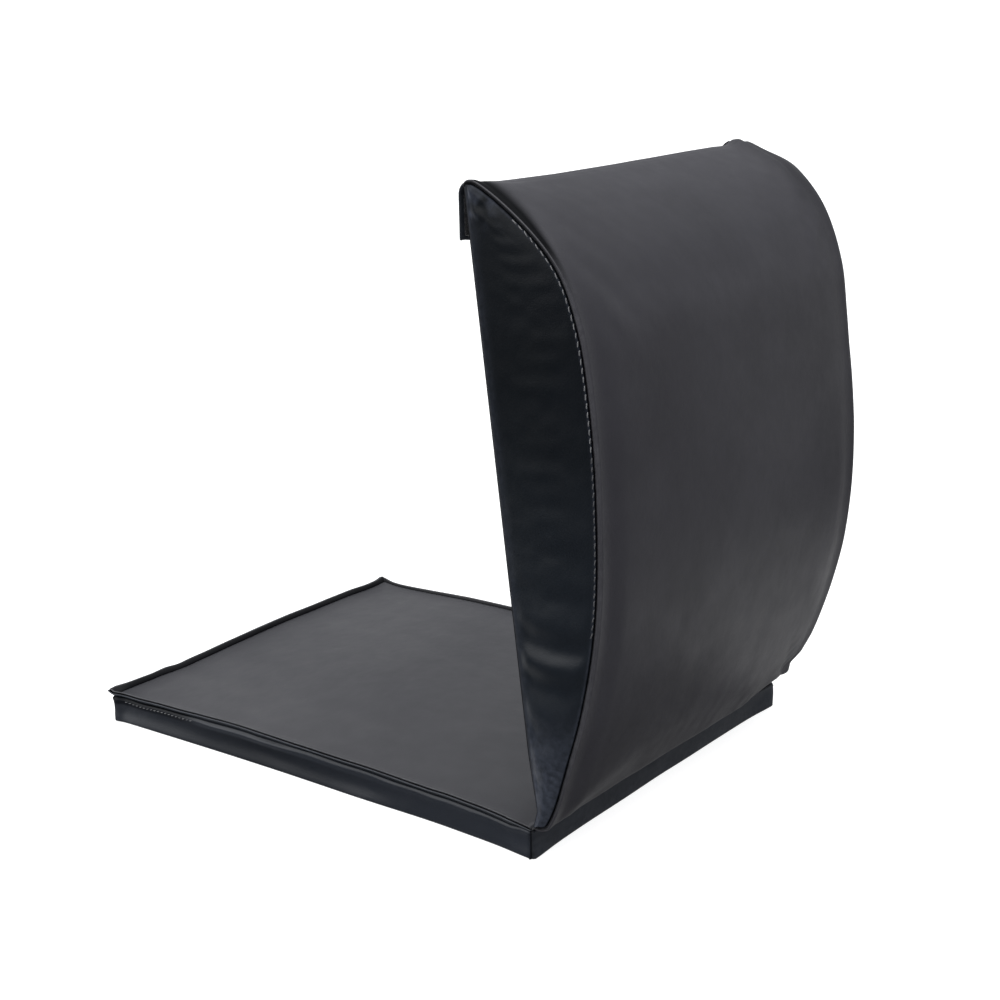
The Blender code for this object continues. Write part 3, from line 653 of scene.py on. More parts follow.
def draw_in(x, y, z):
    """Draw the seat pad's sides in between its corners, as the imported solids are."""
    side = np.minimum(np.abs(y) / SEAT_REAR, 1)
    end = np.minimum(np.abs(x) / SEAT_HALF, 1)
    drawn = x - x / SEAT_HALF * np.where(x < 0, LEFT_DRAW, RIGHT_DRAW) * np.cos(math.pi / 2 * side)
    rear = -REAR_DRAW * y / SEAT_REAR
    front = FRONT_DRAW * y / SEAT_FRONT * np.maximum(0, 1 - z / (SEAT_HEIGHT - 1.3 * MM))
    shift = np.where(y > 0, rear, front)
    return np.stack(np.broadcast_arrays(drawn, y + shift * np.cos(math.pi / 2 * end), z), -1)


def lip_share(y):
    """0 at the hinge line, where the lip ends, and 1 where it stands at full height."""
    return ease((y - SEAT_FRONT - 2 * MM) / (16 * MM))


def around(x, y, across, left, right, rear):
    """Value of an edge place between its left or right side's and its rear side's."""
    side = np.where(x < 0, left, right)
    turned = np.where(y > 0, 1 - across ** 2, 0)
    return side * (1 - turned) + rear * turned


def lip_tip(x, y, across):
    left, right = from_table(LEFT_TIP, y), from_table(RIGHT_TIP, y)
    return around(x, y, across, left, right, from_table(REAR_TIP, x, 3 * MM))


def lip_shape(x, y, across):
    """Width, slope and root height of the lip at an edge place with that sideways direction."""
    share = lip_share(y)
    slope = around(x, y, across, LEFT_SLOPE, RIGHT_SLOPE, REAR_SLOPE)
    slope = slope + share * math.radians(7) * uneven("lip_slope", x, y)
    corner = bump(np.hypot(np.abs(x) - SEAT_HALF, y - SEAT_REAR), 14 * MM)
    slope = slope - CORNER_FLARE * corner * np.where(x < 0, 1.0, 0.3)
    rise = lerp(1.6 * MM, LIP_RISE, share) * (1 + 0.08 * share * uneven("lip_height", x, y))
    width = (rise - LAYERS * np.cos(slope)) / np.sin(slope)
    return np.maximum(width, 0.4 * MM), slope, lip_tip(x, y, across) - rise


HINGE_SIDE_LEVEL = 19.25 * MM
PANEL_SINK = 0.9 * MM


def panel_height(x, y):
    """Top panel's level between its edges, blended from the three lips and the hinge side."""
    low = SEAT_FRONT + HINGE_LEAF
    u = np.clip((x + SEAT_HALF) / SEAT_WIDTH, 0, 1)
    v = np.clip((y - low) / (SEAT_REAR - low), 0, 1)

    def level(table, place, blur=12 * MM):
        return from_table(table, place, blur) - LIP_FACE

    blended = lerp(level(LEFT_TIP, y), level(RIGHT_TIP, y), u)
    blended = blended + lerp(HINGE_SIDE_LEVEL, level(REAR_TIP, x, 10 * MM), v)
    near, far = (lerp(level(LEFT_TIP, at), level(RIGHT_TIP, at), u) for at in (low, SEAT_REAR))
    sink = PANEL_SINK * (np.sin(math.pi * u) * np.sin(math.pi * v)) ** 0.7
    return blended - lerp(near, far, v) - sink


# One cloth layer of the lip, and both with the filling between them
LAYER = 0.9 * MM
LAYERS = 2.8 * MM


def rounded_tip(width, slope, root):
    """Root, directions and round upper edge of the lip's outer layer, which rises over the width."""
    up = np.stack([np.cos(slope), np.sin(slope)], -1)
    inward = np.stack([-np.sin(slope), np.cos(slope)], -1)
    base = np.stack([0 * width - LIP_INSET, root], -1)
    radius = LAYER / 2
    centre = base + up * (width[..., None] - radius) + inward * radius
    places = []
    for turn in np.linspace(0, math.pi, 5):
        places.append(centre - inward * radius * math.cos(turn) + up * radius * math.sin(turn))
    return base, up, inward, places


# Wall of a lipped band, as (share of its height, outset in millimetres)
WALL = (
    (0.12, 0.15), (0.25, 0.25), (0.40, 0.20), (0.55, 0.10), (0.66, 0.20), (0.75, 0.55), (0.81, 0.90),
    (0.85, 1.05), (0.89, 0.90), (0.92, 0.50), (0.95, -0.10), (0.98, -0.60),
)


def band_profile(x, y, across):
    """Outer profile of a lipped band at edge places: bottom roll, wall, lip and its return."""
    width, slope, root = lip_shape(x, y, across)
    bulge = 0.55 + 0.9 * bump(y - 58 * MM, 40 * MM) + 0.25 * uneven("band_bulge", y, x)
    bulge = np.where(x < 0, bulge, 0.8)
    profile = bottom_roll()
    for share, swell in WALL:
        scale = bulge if share > 0.6 and swell > 0 else 1
        profile.append((swell * MM * scale, lerp(BOTTOM_ROLL, root, share)))
    base, up, inward, tip = rounded_tip(width, slope, root)
    outer = [base + up * (width * share)[..., None] for share in (0, 0.15, 0.35, 0.55, 0.75)]
    inner = []
    for share, shut in ((0.66, 0.25 * MM), (0.4, 0.75 * MM)):
        inner.append(base + up * (width * share)[..., None] + inward * (LAYER + shut))
    profile += [place.T for place in (*outer, *tip, *inner)]
    return stacked(profile, len(x))


BOTTOM_ROLL = 1.6 * MM

# Rows of a band's profile: its bottom roll, then its wall up to where it bulges under the lip
ROLL_ROWS = 8
LOW_ROWS = 13


def bottom_roll():
    """Profile of (outset, height) from under the seat pad, round its lower edge."""
    profile = [(-7.5 * MM, 0.5 * MM), (-3.6 * MM, 0.2 * MM)]
    for turn in np.radians(np.linspace(0, 90, ROLL_ROWS - 2)):
        height = 0.08 * MM + BOTTOM_ROLL * (1 - math.cos(turn))
        profile.append((-BOTTOM_ROLL * (1 - math.sin(turn)), height))
    return profile


def stacked(profile, count):
    """Profile of numbers, or of one value for each edge place, as an array over that many places."""
    return np.stack([np.stack([value + np.zeros(count) for value in place], -1) for place in profile], 1)


# How far the cover stands out at the left corners, as (height, outset) in millimetres
REAR_LEFT_PUSH = ((0, 1.5), (5, 2.8), (12, 3.5), (17, 3.2), (22, 1.9))
FRONT_LEFT_PUSH = ((0, 1.9), (3, 1.6), (7, 0.5), (16, 0.3), (20, 1.3))


def corner_push(x, y, z):
    """How far the cover stands out at the four upright corners."""
    aside = np.abs(x) - SEAT_HALF
    right = lerp(0.8 * MM, 1.4 * MM, np.clip((z - 12 * MM) / (14 * MM), 0, 1))
    rear = np.where(x < 0, from_table(REAR_LEFT_PUSH, z, 0), right)
    front = np.where(x < 0, from_table(FRONT_LEFT_PUSH, z, 0), 1.2 * MM)
    rear = rear * bump(np.hypot(aside, y - SEAT_REAR), 6 * MM)
    return rear + front * bump(np.hypot(aside, y - SEAT_FRONT), 20 * MM)


def foot_flare(x, y, z):
    """How far the left and front bands stand out at the floor."""
    on_left = (x < -SEAT_HALF + 6 * MM) & (y < SEAT_REAR - 1 * MM)
    side = 2.9 * MM * ease((y + 120 * MM) / (90 * MM)) * on_left
    ahead = lerp(1.4 * MM, 0.1 * MM, np.clip((x + SEAT_HALF) / SEAT_WIDTH, 0, 1))
    return (side + ahead * (y < SEAT_FRONT + 1 * MM)) * bump(z, 5.5 * MM)


# How deep and wide the upright seam at a corner is
CORNER_SEAM = 0.9 * MM
SEAM_WIDTH = 0.7 * MM


def pointed(dx, dy, x, y, z):
    """Stretch of a corner's radius that turns its round into a point, at the left rear above the wall."""
    high = np.clip((z - 12 * MM) / (10 * MM), 0, 1)
    share = np.where((x < 0) & (y > 0), 0.35 + 0.55 * high, 0.25)
    return (1 / np.maximum(np.maximum(np.abs(dx), np.abs(dy)), 0.5)) ** share


def edge_line(kind, step=2 * MM):
    """Edge places of one band with their outward directions, from mid corner to mid corner."""
    def corner(cx, cy, radius, first, last):
        turns = [(math.cos(t), math.sin(t)) for t in np.radians(np.linspace(first, last, 7))]
        return [(cx + radius * dx, cy + radius * dy, dx, dy) for dx, dy in turns]

    if kind in ("left", "right"):
        low_y, high_y = SEAT_FRONT + FRONT_CORNER, SEAT_REAR - REAR_CORNER
        low = corner(SEAT_HALF - FRONT_CORNER, low_y, FRONT_CORNER, -45, 0)
        high = corner(SEAT_HALF - REAR_CORNER, high_y, REAR_CORNER, 0, 45)
        line = [(SEAT_HALF, y, 1, 0) for y in np.linspace(low_y, high_y, int((high_y - low_y) / step))[1:-1]]
        side = -1 if kind == "left" else 1
        return np.array([*low, *line, *high]) * (side, 1, side, 1)
    end, radius, side = (SEAT_REAR, REAR_CORNER, 1) if kind == "rear" else (SEAT_FRONT, FRONT_CORNER, -1)
    span = SEAT_HALF - radius
    first = np.array(corner(span, end - side * radius, radius, 45 * side, 90 * side))
    line = [(x, end, 0, side) for x in np.linspace(span, -span, int(2 * span / step))[1:-1]]
    return np.vstack([first, np.array(line), first[::-1] * (-1, 1, -1, 1)])


def sweep(places, profile):
    """Grid of a profile of (outset, height) carried along edge places."""
    x, y, dx, dy = (places[:, k:k + 1] for k in range(4))
    height = profile[..., 1]
    flat = np.maximum(np.abs(dx), np.abs(dy)) ** 6
    out = profile[..., 0] + corner_push(x, y, height) + foot_flare(x, y, height) * flat
    radius = np.where(y > 0, REAR_CORNER, FRONT_CORNER)
    out = (radius + out) * pointed(dx, dy, x, y, height) - radius
    return draw_in(x + dx * out, y + dy * out, height)


def band_points(kind):
    """Points of a lipped band, with a painted highlight on the lip's tip, scuffing on the bottom roll, and
    painted shade.
    """
    places = edge_line(kind)
    y = places[:, 1:2]
    profile = band_profile(places[:, 0], places[:, 1], np.abs(places[:, 2]))
    out, height = profile[..., 0], profile[..., 1]
    run = lengths_along(places[:, :2])[:, None]
    from_end = np.minimum(run, run[-1] - run)
    walls = bump(height - 10 * MM, 7 * MM) * (out > -2 * MM)
    out += 0.45 * MM * uneven("band_waves", run, height) * walls * ease(from_end / (10 * MM))
    out -= CORNER_SEAM * bump(from_end, SEAM_WIDTH) * ease(height / (3 * MM)) * (height < 20 * MM)
    rows = np.arange(profile.shape[1])[None, :]
    tip = profile.shape[1] - 5
    lip = tip - 4
    # Painted highlight on the lip's rounded tip, and scuffing on the bottom roll
    wear_and_highlight = 0.8 * bump(rows - tip, 1.2) + 0.25 * bump(rows - 4, 1.6) + 0 * run
    # Painted shade on the lip's return, at the lip's root in its shadow, and in the corner seams
    shade = 1.0 * (rows > tip + 1) + 0.9 * bump(rows - ROLL_ROWS - len(WALL) - 1, 1.6)
    shade = shade + 0.9 * bump(from_end, 0.8 * MM) * (rows < lip)
    if kind == "left":
        # Left band: painted shade on the middle of its wall, painted shadow in the strip under the lip
        # towards the rear, and its wall painted lighter at the rear end
        low = rows < LOW_ROWS
        shade = shade + 0.5 * bump(y - 50 * MM, 110 * MM) * low
        shade = shade + 0.6 * ease((y - 105 * MM) / (22 * MM)) * (~low & (rows < lip))
        wear_and_highlight = wear_and_highlight + 0.22 * ease((y - 140 * MM) / (40 * MM)) * low
    return sweep(places, profile), wear_and_highlight, shade


FRONT_ROLL = 1.2 * MM
FRONT_WALL = (3.3 * MM, 17.2 * MM)


def front_band_points():
    """Points of the front band, which is rolled over at its top instead of lipped."""
    places = edge_line("front")
    profile = bottom_roll()
    for share in (0.25, 0.5, 0.75, 0.92):
        profile.append((0.4 * MM * math.sin(math.pi * share), lerp(*FRONT_WALL, share)))
    for turn in np.radians((0, 30, 60, 90)):
        profile.append((FRONT_ROLL * (math.cos(turn) - 1), FRONT_WALL[1] + FRONT_ROLL * math.sin(turn)))
    profile = stacked([*profile, (-6 * MM, FRONT_WALL[1] + FRONT_ROLL)], len(places))
    out, height = profile[..., 0], profile[..., 1]
    run = lengths_along(places[:, :2])[:, None]
    from_end = np.minimum(run, run[-1] - run)
    out -= CORNER_SEAM * bump(from_end, SEAM_WIDTH) * ease(height / (3 * MM))
    out += 0.35 * MM * uneven("front_band_waves", run, height) * (out > -2 * MM)
    rows = np.arange(profile.shape[1])[None, :]
    # Lighter all over and more on the bottom roll; painted shade in the corner seams and on the rolled top,
    # under the arch pad's overhanging foot
    wear_and_highlight = 0.32 + 0.2 * bump(rows - 4, 1.6) + 0 * run
    return sweep(places, profile), wear_and_highlight, 0.9 * bump(from_end, 0.8 * MM) + 0.7 * (rows >= LOW_ROWS)


# Rings round the top panel: its root at the lip, its tip, and the rounded front edge
SEAT_ROOT = 2.0 * MM
SEAT_TIP = 9 * MM
FRONT_EDGE = 1.0 * MM
FRONT_ROUND = 1.3 * MM
BOTTOM_INSET = 3.4 * MM
SEAT_RINGS = (0.25, 0.6, 1.1, 1.8, 2.6, 3.4)
FRONT_STEPS = (0, 0.15, 0.4, 0.8, 1.4, 2.2, 3.2, 4.6)
LIP_CLIMB = 0.6
LIP_TURN = 0.25


def inner_profile(ring, x, y, across, flat):
    """Distance from the edge line and height of the top panel at a ring place of the lip."""
    width, slope, root = lip_shape(x, y, across)
    rise_out, rise_up = np.cos(slope), np.sin(slope)
    tip_out = width * rise_out - LIP_INSET - LAYERS * rise_up
    tip_up = root + width * rise_up + LAYERS * rise_out
    share = (ring - SEAT_ROOT) / (SEAT_TIP - SEAT_ROOT)
    radius = LAYER / 2
    climb = np.clip(share / LIP_CLIMB, 0, 1)
    end_out = tip_out - radius * rise_out
    end_up = tip_up - radius * rise_up
    climb_out = lerp(tip_out - (tip_up - flat) * rise_out / rise_up, end_out, climb)
    climb_up = lerp(flat, end_up, climb)
    turn = np.clip((share - LIP_CLIMB) / LIP_TURN, 0, 1) * math.pi
    fall = np.clip((share - LIP_CLIMB - LIP_TURN) / 0.15, 0, 1) * 2.6 * MM
    shut = ease((share - 0.87) / 0.08) * 0.6 * MM
    aside = radius - radius * np.cos(turn) + shut
    ahead = radius * np.sin(turn) - fall
    turned_out = end_out + rise_up * aside + rise_out * ahead
    turned_up = end_up - rise_out * aside + rise_up * ahead
    climbing = share <= LIP_CLIMB
    return np.where(climbing, climb_out, turned_out), np.where(climbing, climb_up, turned_up)


def seat_top_points():
    """Points of the top panel with its lip's inner layer, a painted highlight on the lip's rim, and painted
    shade on the lip's inner face.
    """
    corner_x = SEAT_HALF - REAR_CORNER
    corner_y = SEAT_REAR - REAR_CORNER
    front = SEAT_FRONT + FRONT_EDGE
    climbing = SEAT_ROOT + np.array(SEAT_RINGS) * MM
    turning = lerp(SEAT_ROOT, SEAT_TIP, np.linspace(LIP_CLIMB, 1, 9))
    rings = np.concatenate([np.linspace(0, SEAT_ROOT, 4)[1:], climbing, turning])
    line_x = np.linspace(-corner_x, corner_x, 130)
    steps = front + np.array(FRONT_STEPS) * MM
    line_y = np.concatenate([steps, np.linspace(front + 6.5 * MM, corner_y, 150)])
    a = np.concatenate([-rings[::-1], 0 * line_x, rings])[None, :]
    base_x = np.concatenate([-corner_x + 0 * rings, line_x, corner_x + 0 * rings])[None, :]
    b = np.concatenate([0 * line_y, rings])[:, None]
    base_y = np.concatenate([line_y, corner_y + 0 * rings])[:, None]
    ring = np.maximum(np.abs(a), b)
    size = np.maximum(np.hypot(a, b), 1e-9)
    dx, dy = a / size, b / size
    across = np.where(ring > 0, np.abs(dx), np.abs(base_x) / corner_x)
    edge_x = base_x + dx * REAR_CORNER
    edge_y = base_y + dy * REAR_CORNER
    flat = panel_height(edge_x, edge_y)
    out, height = inner_profile(ring, edge_x, edge_y, across, flat)
    root_out, _ = inner_profile(0 * ring + SEAT_ROOT, edge_x, edge_y, across, flat)
    inside = np.maximum(REAR_CORNER + root_out, 0.3 * MM) * np.clip(ring / SEAT_ROOT, 0, 1)
    out = out + corner_push(edge_x, edge_y, height) * ease((ring - SEAT_ROOT) / (2 * MM))
    stretch = pointed(dx, dy, edge_x, edge_y, height)
    stretch = np.where(np.minimum(np.abs(dx), np.abs(dy)) > 0, stretch, 1)
    radius = np.where(ring <= SEAT_ROOT, inside, REAR_CORNER + out) * stretch
    x = base_x + dx * radius
    y = base_y + dy * radius

    height = np.where(ring <= SEAT_ROOT, panel_height(x, y), height)
    field = ring < SEAT_ROOT
    to_side = np.minimum(SEAT_HALF - np.abs(x), SEAT_REAR - y)
    from_front = y - front
    inner = ease((to_side - 6 * MM) / (25 * MM)) * ease(from_front / (20 * MM))
    swell = 0.35 * MM * uneven("seat_waves", x, y) + 0.10 * MM * uneven("seat_ripples", x, y)
    dip = -0.45 * MM * bump(to_side - 11 * MM, 6 * MM)
    height = height + (swell * inner + dip * ease(from_front / (30 * MM))) * field
    height = height + 0.5 * MM * bump(to_side - 4 * MM, 2.2 * MM) * field * ease(from_front / (12 * MM))
    roll = 1 - np.clip(from_front / FRONT_ROUND, 0, 1)
    height = height - FRONT_ROUND * (1 - np.sqrt(1 - roll ** 2))
    share = (ring - SEAT_ROOT) / (SEAT_TIP - SEAT_ROOT)
    # Painted highlight along the lip's rim
    wear_and_highlight = 0.9 * bump(share - 0.70, 0.10) * lip_share(y)
    # Painted shade on the lip's inner face, less towards the rim
    shade = ease((ring - SEAT_ROOT * 0.5) / (0.8 * MM)) * (1 - bump(share - 0.70, 0.11) * 0.9)
    shade = shade * lip_share(y) * (1 - 0.55 * np.clip(share / LIP_CLIMB, 0, 1))
    return draw_in(x, y, height), wear_and_highlight, shade


def bottom_points():
    """Points of the bottom panel, with their wear."""
    x = np.linspace(-1, 1, 61)[None, :] * (SEAT_HALF - BOTTOM_INSET)
    y = np.linspace(-1, 1, 75)[:, None] * (SEAT_REAR - BOTTOM_INSET)
    inset = np.minimum(SEAT_HALF - np.abs(x), SEAT_REAR - np.abs(y))
    z = 0.12 * MM * (1 + uneven("bottom_waves", x, y)) * ease(inset / (20 * MM))
    z = z * (uneven("bottom_patches", x, y) > -0.2)
    return draw_in(x, y, z), 0.2 * bump(inset - 5 * MM, 4 * MM)


# Cloth pieces with thickness

def thick_strip(name, line, x_ends, thickness, wave=None, columns=90):
    """Closed cloth strip: a line of (y, z) places carried along X, rounded at its edges."""
    line = np.array(line)
    half = thickness / 2
    run = unit(np.gradient(line, axis=0)) * half
    aside = np.stack([-run[:, 1], run[:, 0]], -1)
    ring = np.vstack([line[0] - run[0], line + aside, line[-1] + run[-1], (line - aside)[::-1]])
    centre = np.vstack([line[:1], line, line[-1:], line[::-1]])
    share = np.concatenate([[0, 0.0015, 0.006], np.linspace(0.015, 0.985, columns), [0.994, 0.9985, 1]])
    squeeze = np.ones(len(share))
    squeeze[[0, -1]] = 0.25
    squeeze[[1, -2]] = 0.75
    flat = centre + (ring - centre) * squeeze[:, None, None]
    x = lerp(*x_ends, share)[:, None, None] + 0 * flat[..., :1]
    points = np.concatenate([x, flat], -1)
    if wave is not None:
        points = wave(points)
    index = np.arange(len(share) * len(ring)).reshape(len(share), len(ring))
    following = np.roll(index, -1, axis=1)
    faces = np.stack([index[:-1], index[1:], following[1:], following[:-1]], -1).reshape(-1, 4)
    item = new_object(name, points.reshape(-1, 3), faces, np.full(index.shape, 0.35))
    mesh = bmesh.new()
    mesh.from_mesh(item.data)
    mesh.verts.ensure_lookup_table()
    for end in (index[0][::-1], index[-1]):
        mesh.faces.new([mesh.verts[i] for i in end.tolist()])
    bmesh.ops.recalc_face_normals(mesh, faces=mesh.faces)
    mesh.to_mesh(item.data)
    mesh.free()
    item.data.shade_smooth()
    return item


def on_arch(along, out):
    """(y, z) of a place of the arch pad."""
    _, y, z = arch_world(0.0, along, out)
    return float(y), float(z)


# (y, z) of the hinge cloth on the seat pad, and its places up the arch pad, in millimetres
HINGE_ON_SEAT = (
    (-177.0, 17.6), (-180.0, 17.6), (-184.0, 17.7), (-187.0, 18.1), (-188.4, 18.7), (-188.9, 19.4),
    (-189.1, 20.2),
)
HINGE_ON_ARCH = (2.2, 4.0, 7.0, 10.0, 13.0, 15.0)


def hinge_line():
    """(y, z) of the hinge cloth, from the seat pad's top over the hinge line and up the arch pad."""
    line = [(y * MM, z * MM) for y, z in HINGE_ON_SEAT]
    line += [on_arch(along * MM, flat_side(along * MM) - 0.35 * MM) for along in HINGE_ON_ARCH]
    return curve_through(line, 4)


# How far down the flap hangs below its pivot, in millimetres
FLAP_DROPS = (8, 14, 20, 26, 31.6)


def flap_places(*places):
    """(y, z) of places given behind and below the flap's pivot, in millimetres."""
    return [(FLAP_PIVOT[0] + behind * MM, FLAP_PIVOT[1] - below * MM) for behind, below in places]


def flap_line():
    """(y, z) of the flap cloth, from the seam behind the arch pad's top edge, over and down."""
    line = [on_arch(along * MM, out * MM) for along, out in ((393.0, 1.0), (394.3, -1.2))]
    line += flap_places((1.0, -0.4), (2.8, 0.7), (4.4, 2.8), (5.2, 5.4))
    line += flap_places(*((5.3, drop) for drop in FLAP_DROPS))
    return curve_through(line, 4)


# Stitches

def stitch_row(name, rail, normals, pitch, length, radius, slant=0.0, sink=0.1 * MM):
    """Row of thread stitches along a rail, as one mesh of slim capsules."""
    run = lengths_along(rail)
    places = np.arange(pitch / 2, run[-1], pitch)
    centre = resampled(rail, places)
    ahead = resampled(rail, np.minimum(places + 0.3 * pitch, run[-1]))
    behind = resampled(rail, np.maximum(places - 0.3 * pitch, 0))
    tangent = unit(ahead - behind)
    normal = np.stack([np.interp(places, run, normals[:, k]) for k in range(3)], -1)
    normal = unit(normal - tangent * np.sum(normal * tangent, 1, keepdims=True))
    side = np.cross(normal, tangent)
    rng = np.random.default_rng(len(places))
    angle = slant + rng.normal(0, 0.05, len(places))[:, None]
    size = length * (0.5 + 0.02 * rng.normal(size=len(places)))
    cos, sin = np.cos(angle), np.sin(angle)
    tangent, side = tangent * cos + side * sin, side * cos - tangent * sin
    station = np.linspace(-1, 1, 9)
    turns = np.radians(np.arange(0, 360, 60))[:, None]
    thick = radius * np.sqrt(np.maximum(1 - np.abs(station) ** 4, 0.02))
    lift = radius * 0.75 - sink - 1.3 * radius * np.abs(station) ** 3
    spine = centre[:, None] + tangent[:, None] * (size[:, None] * station)[..., None]
    spine = spine + normal[:, None] * lift[:, None]
    ring = side[:, None] * np.cos(turns) + normal[:, None] * np.sin(turns)
    points = spine[:, :, None] + ring[:, None] * thick[:, None, None]
    index = np.arange(points[..., 0].size).reshape(points.shape[:3])
    turned = np.roll(index, -1, axis=2)
    faces = np.stack([index[:, :-1], turned[:, :-1], turned[:, 1:], index[:, 1:]], -1)
    return new_object(name, points.reshape(-1, 3), faces.reshape(-1, 4))


# Materials

def feed(tree, socket, value):
    """Give a socket a value, or another node's output."""
    if isinstance(value, bpy.types.NodeSocket):
        tree.links.new(value, socket)
    else:
        socket.default_value = value


def connect(tree, item, **sockets):
    for key, value in sockets.items():
        feed(tree, item.inputs[key.replace("_", " ")], value)
    return item


def node(tree, kind, **sockets):
    return connect(tree, tree.nodes.new(kind), **sockets)


def ramp(tree, value, low, high, low_value=0.0, high_value=1.0, kind="LINEAR"):
    """Value carried over from one span to another."""
    made = node(tree, "ShaderNodeMapRange", Value=value, From_Min=low, From_Max=high,
                To_Min=low_value, To_Max=high_value)
    made.interpolation_type = kind
    return made.outputs["Result"]


def mixed(tree, share, first, second):
    made = tree.nodes.new("ShaderNodeMix")
    made.data_type = "RGBA"
    return connect(tree, made, Factor=share, A=first, B=second).outputs["Result"]


def product(tree, first, second):
    made = tree.nodes.new("ShaderNodeMath")
    made.operation = "MULTIPLY"
    feed(tree, made.inputs[0], first)
    feed(tree, made.inputs[1], second)
    return made.outputs[0]


def painted(tree, name):
    made = tree.nodes.new("ShaderNodeAttribute")
    made.attribute_name = name
    return made.outputs["Fac"]


def cloud(tree, place, scale, detail, roughness=0.5):
    made = node(tree, "ShaderNodeTexNoise", Vector=place, Scale=scale, Detail=detail, Roughness=roughness)
    return made.outputs["Fac"]


def raised(tree, height, distance, strength=1.0, below=None, invert=False):
    """Normal of a raised surface, over the one below it."""
    made = node(tree, "ShaderNodeBump", Height=height, Distance=distance, Strength=strength)
    made.invert = invert
    if below is not None:
        feed(tree, made.inputs["Normal"], below)
    return made.outputs["Normal"]


def new_material(name):
    """Material, its node tree and its shader."""
    material = bpy.data.materials.new(name)
    material.use_nodes = True
    tree = material.node_tree
    return material, tree, tree.nodes["Principled BSDF"]


def on_object(tree):
    return tree.nodes.new("ShaderNodeTexCoord").outputs["Object"]


# Colour that painted shade mixes in, how much scuffing and painted highlights show, and the height of
# creases
PAINTED_SHADE_COLOUR = (0.0012, 0.0015, 0.0020)
WEAR_AND_HIGHLIGHT_SHARE = 0.5
CREASE = 0.25 * MM


def leather(name, dark, light, wear_and_highlight_colour, roughness, spread, specular, grain):
    """Coated cloth: pebbled grain, soft creases, uneven sheen, scuffed edges with painted highlights, and
    painted shade.
    """
    material, tree, shader = new_material(name)
    place = on_object(tree)
    tone = ramp(tree, cloud(tree, place, 7.0, 4.0, 0.6), 0.35, 0.65)
    patches = ramp(tree, cloud(tree, place, 260.0, 3.0), 0.3, 0.7, 0.35, 1.0)
    # Lighter where the painted value marks scuffing or a painted highlight
    wear_and_highlight_amount = product(tree, product(tree, painted(tree, "wear_and_highlight"), patches), WEAR_AND_HIGHLIGHT_SHARE)
    # Near black and less glossy where painted shade is marked
    shade = painted(tree, "shade")
    colour = mixed(tree, shade, mixed(tree, tone, (*dark, 1), (*light, 1)), (*PAINTED_SHADE_COLOUR, 1))
    smear = cloud(tree, place, 38.0, 5.0, 0.65)
    creases = raised(tree, cloud(tree, place, 75.0, 3.0), CREASE)
    pebbles = node(tree, "ShaderNodeTexVoronoi", Vector=place, Scale=1500.0)
    pebbles.feature = "SMOOTH_F1"
    normal = raised(tree, pebbles.outputs["Distance"], grain, below=creases, invert=True)
    normal = raised(tree, cloud(tree, place, 2600.0, 2.0), grain * 0.5, 0.6, below=normal)
    connect(tree, shader, Base_Color=mixed(tree, wear_and_highlight_amount, colour, (*wear_and_highlight_colour, 1)), Normal=normal,
            Roughness=ramp(tree, smear, 0.3, 0.7, roughness - spread, roughness + spread),
            Specular_IOR_Level=ramp(tree, shade, 0, 1, specular, specular * 0.05))
    return material


def thread(name, low, high):
    """Twisted yarn."""
    material, tree, shader = new_material(name)
    place = on_object(tree)
    twist = node(tree, "ShaderNodeTexWave", Vector=place, Scale=1400.0, Distortion=2.0)
    connect(tree, shader, Roughness=0.55, Sheen_Weight=0.2,
            Base_Color=mixed(tree, cloud(tree, place, 900.0, 3.0), (*low, 1), (*high, 1)),
            Normal=raised(tree, twist.outputs["Fac"], 0.08 * MM, 0.7))
    return material


def pile(name, low, high, scale, depth):
    """Hook or loop pile: dense fuzz, dull and uneven."""
    material, tree, shader = new_material(name)
    place = on_object(tree)
    tuft = node(tree, "ShaderNodeTexVoronoi", Vector=place, Scale=scale).outputs["Distance"]
    connect(tree, shader, Sheen_Weight=0.35, Specular_IOR_Level=0.15,
            Roughness=ramp(tree, tuft, 0, 1, 0.8, 1.0),
            Base_Color=mixed(tree, tuft, (*high, 1), (*low, 1)),
            Normal=raised(tree, tuft, depth, invert=True))
    return material


FACE_ARCH = leather("face_leather_arch", (0.0162, 0.0156, 0.0200), (0.0232, 0.0225, 0.0280),
                    (0.075, 0.075, 0.082), roughness=0.48, spread=0.05, specular=0.40, grain=0.06 * MM)
FACE_SEAT = leather("face_leather_seat", (0.0245, 0.0247, 0.0282), (0.0330, 0.0330, 0.0365),
                    (0.10, 0.105, 0.11), roughness=0.48, spread=0.05, specular=0.32, grain=0.06 * MM)
SIDE_ARCH = leather("side_leather_arch", (0.0029, 0.0045, 0.0066), (0.0051, 0.0071, 0.0103),
                    (0.052, 0.059, 0.082), roughness=0.34, spread=0.05, specular=0.235, grain=0.05 * MM)
SIDE_SEAT = leather("side_leather_seat", (0.009, 0.0112, 0.016), (0.014, 0.0165, 0.022),
                    (0.09, 0.095, 0.105), roughness=0.36, spread=0.06, specular=0.28, grain=0.05 * MM)
THREAD = thread("seam_thread", (0.06, 0.06, 0.064), (0.14, 0.14, 0.145))
# The seam thread again, painted darker as painted shade, for the low stitches of the gusset seams
SHADED_THREAD = thread("seam_thread_shaded", (0.018, 0.018, 0.021), (0.05, 0.05, 0.055))
LOOPS = pile("loop_pile", (0.004, 0.004, 0.005), (0.018, 0.018, 0.020), 1600.0, 0.5 * MM)
HOOKS = pile("hook_pile", (0.004, 0.004, 0.005), (0.022, 0.022, 0.024), 1100.0, 0.4 * MM)


def dress(item, material, body=None, replaces=()):
    item.data.materials.clear()
    item.data.materials.append(material)
    if body:
        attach(item, body)
    if replaces:
        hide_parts(*replaces)
    return item


# Arch pad

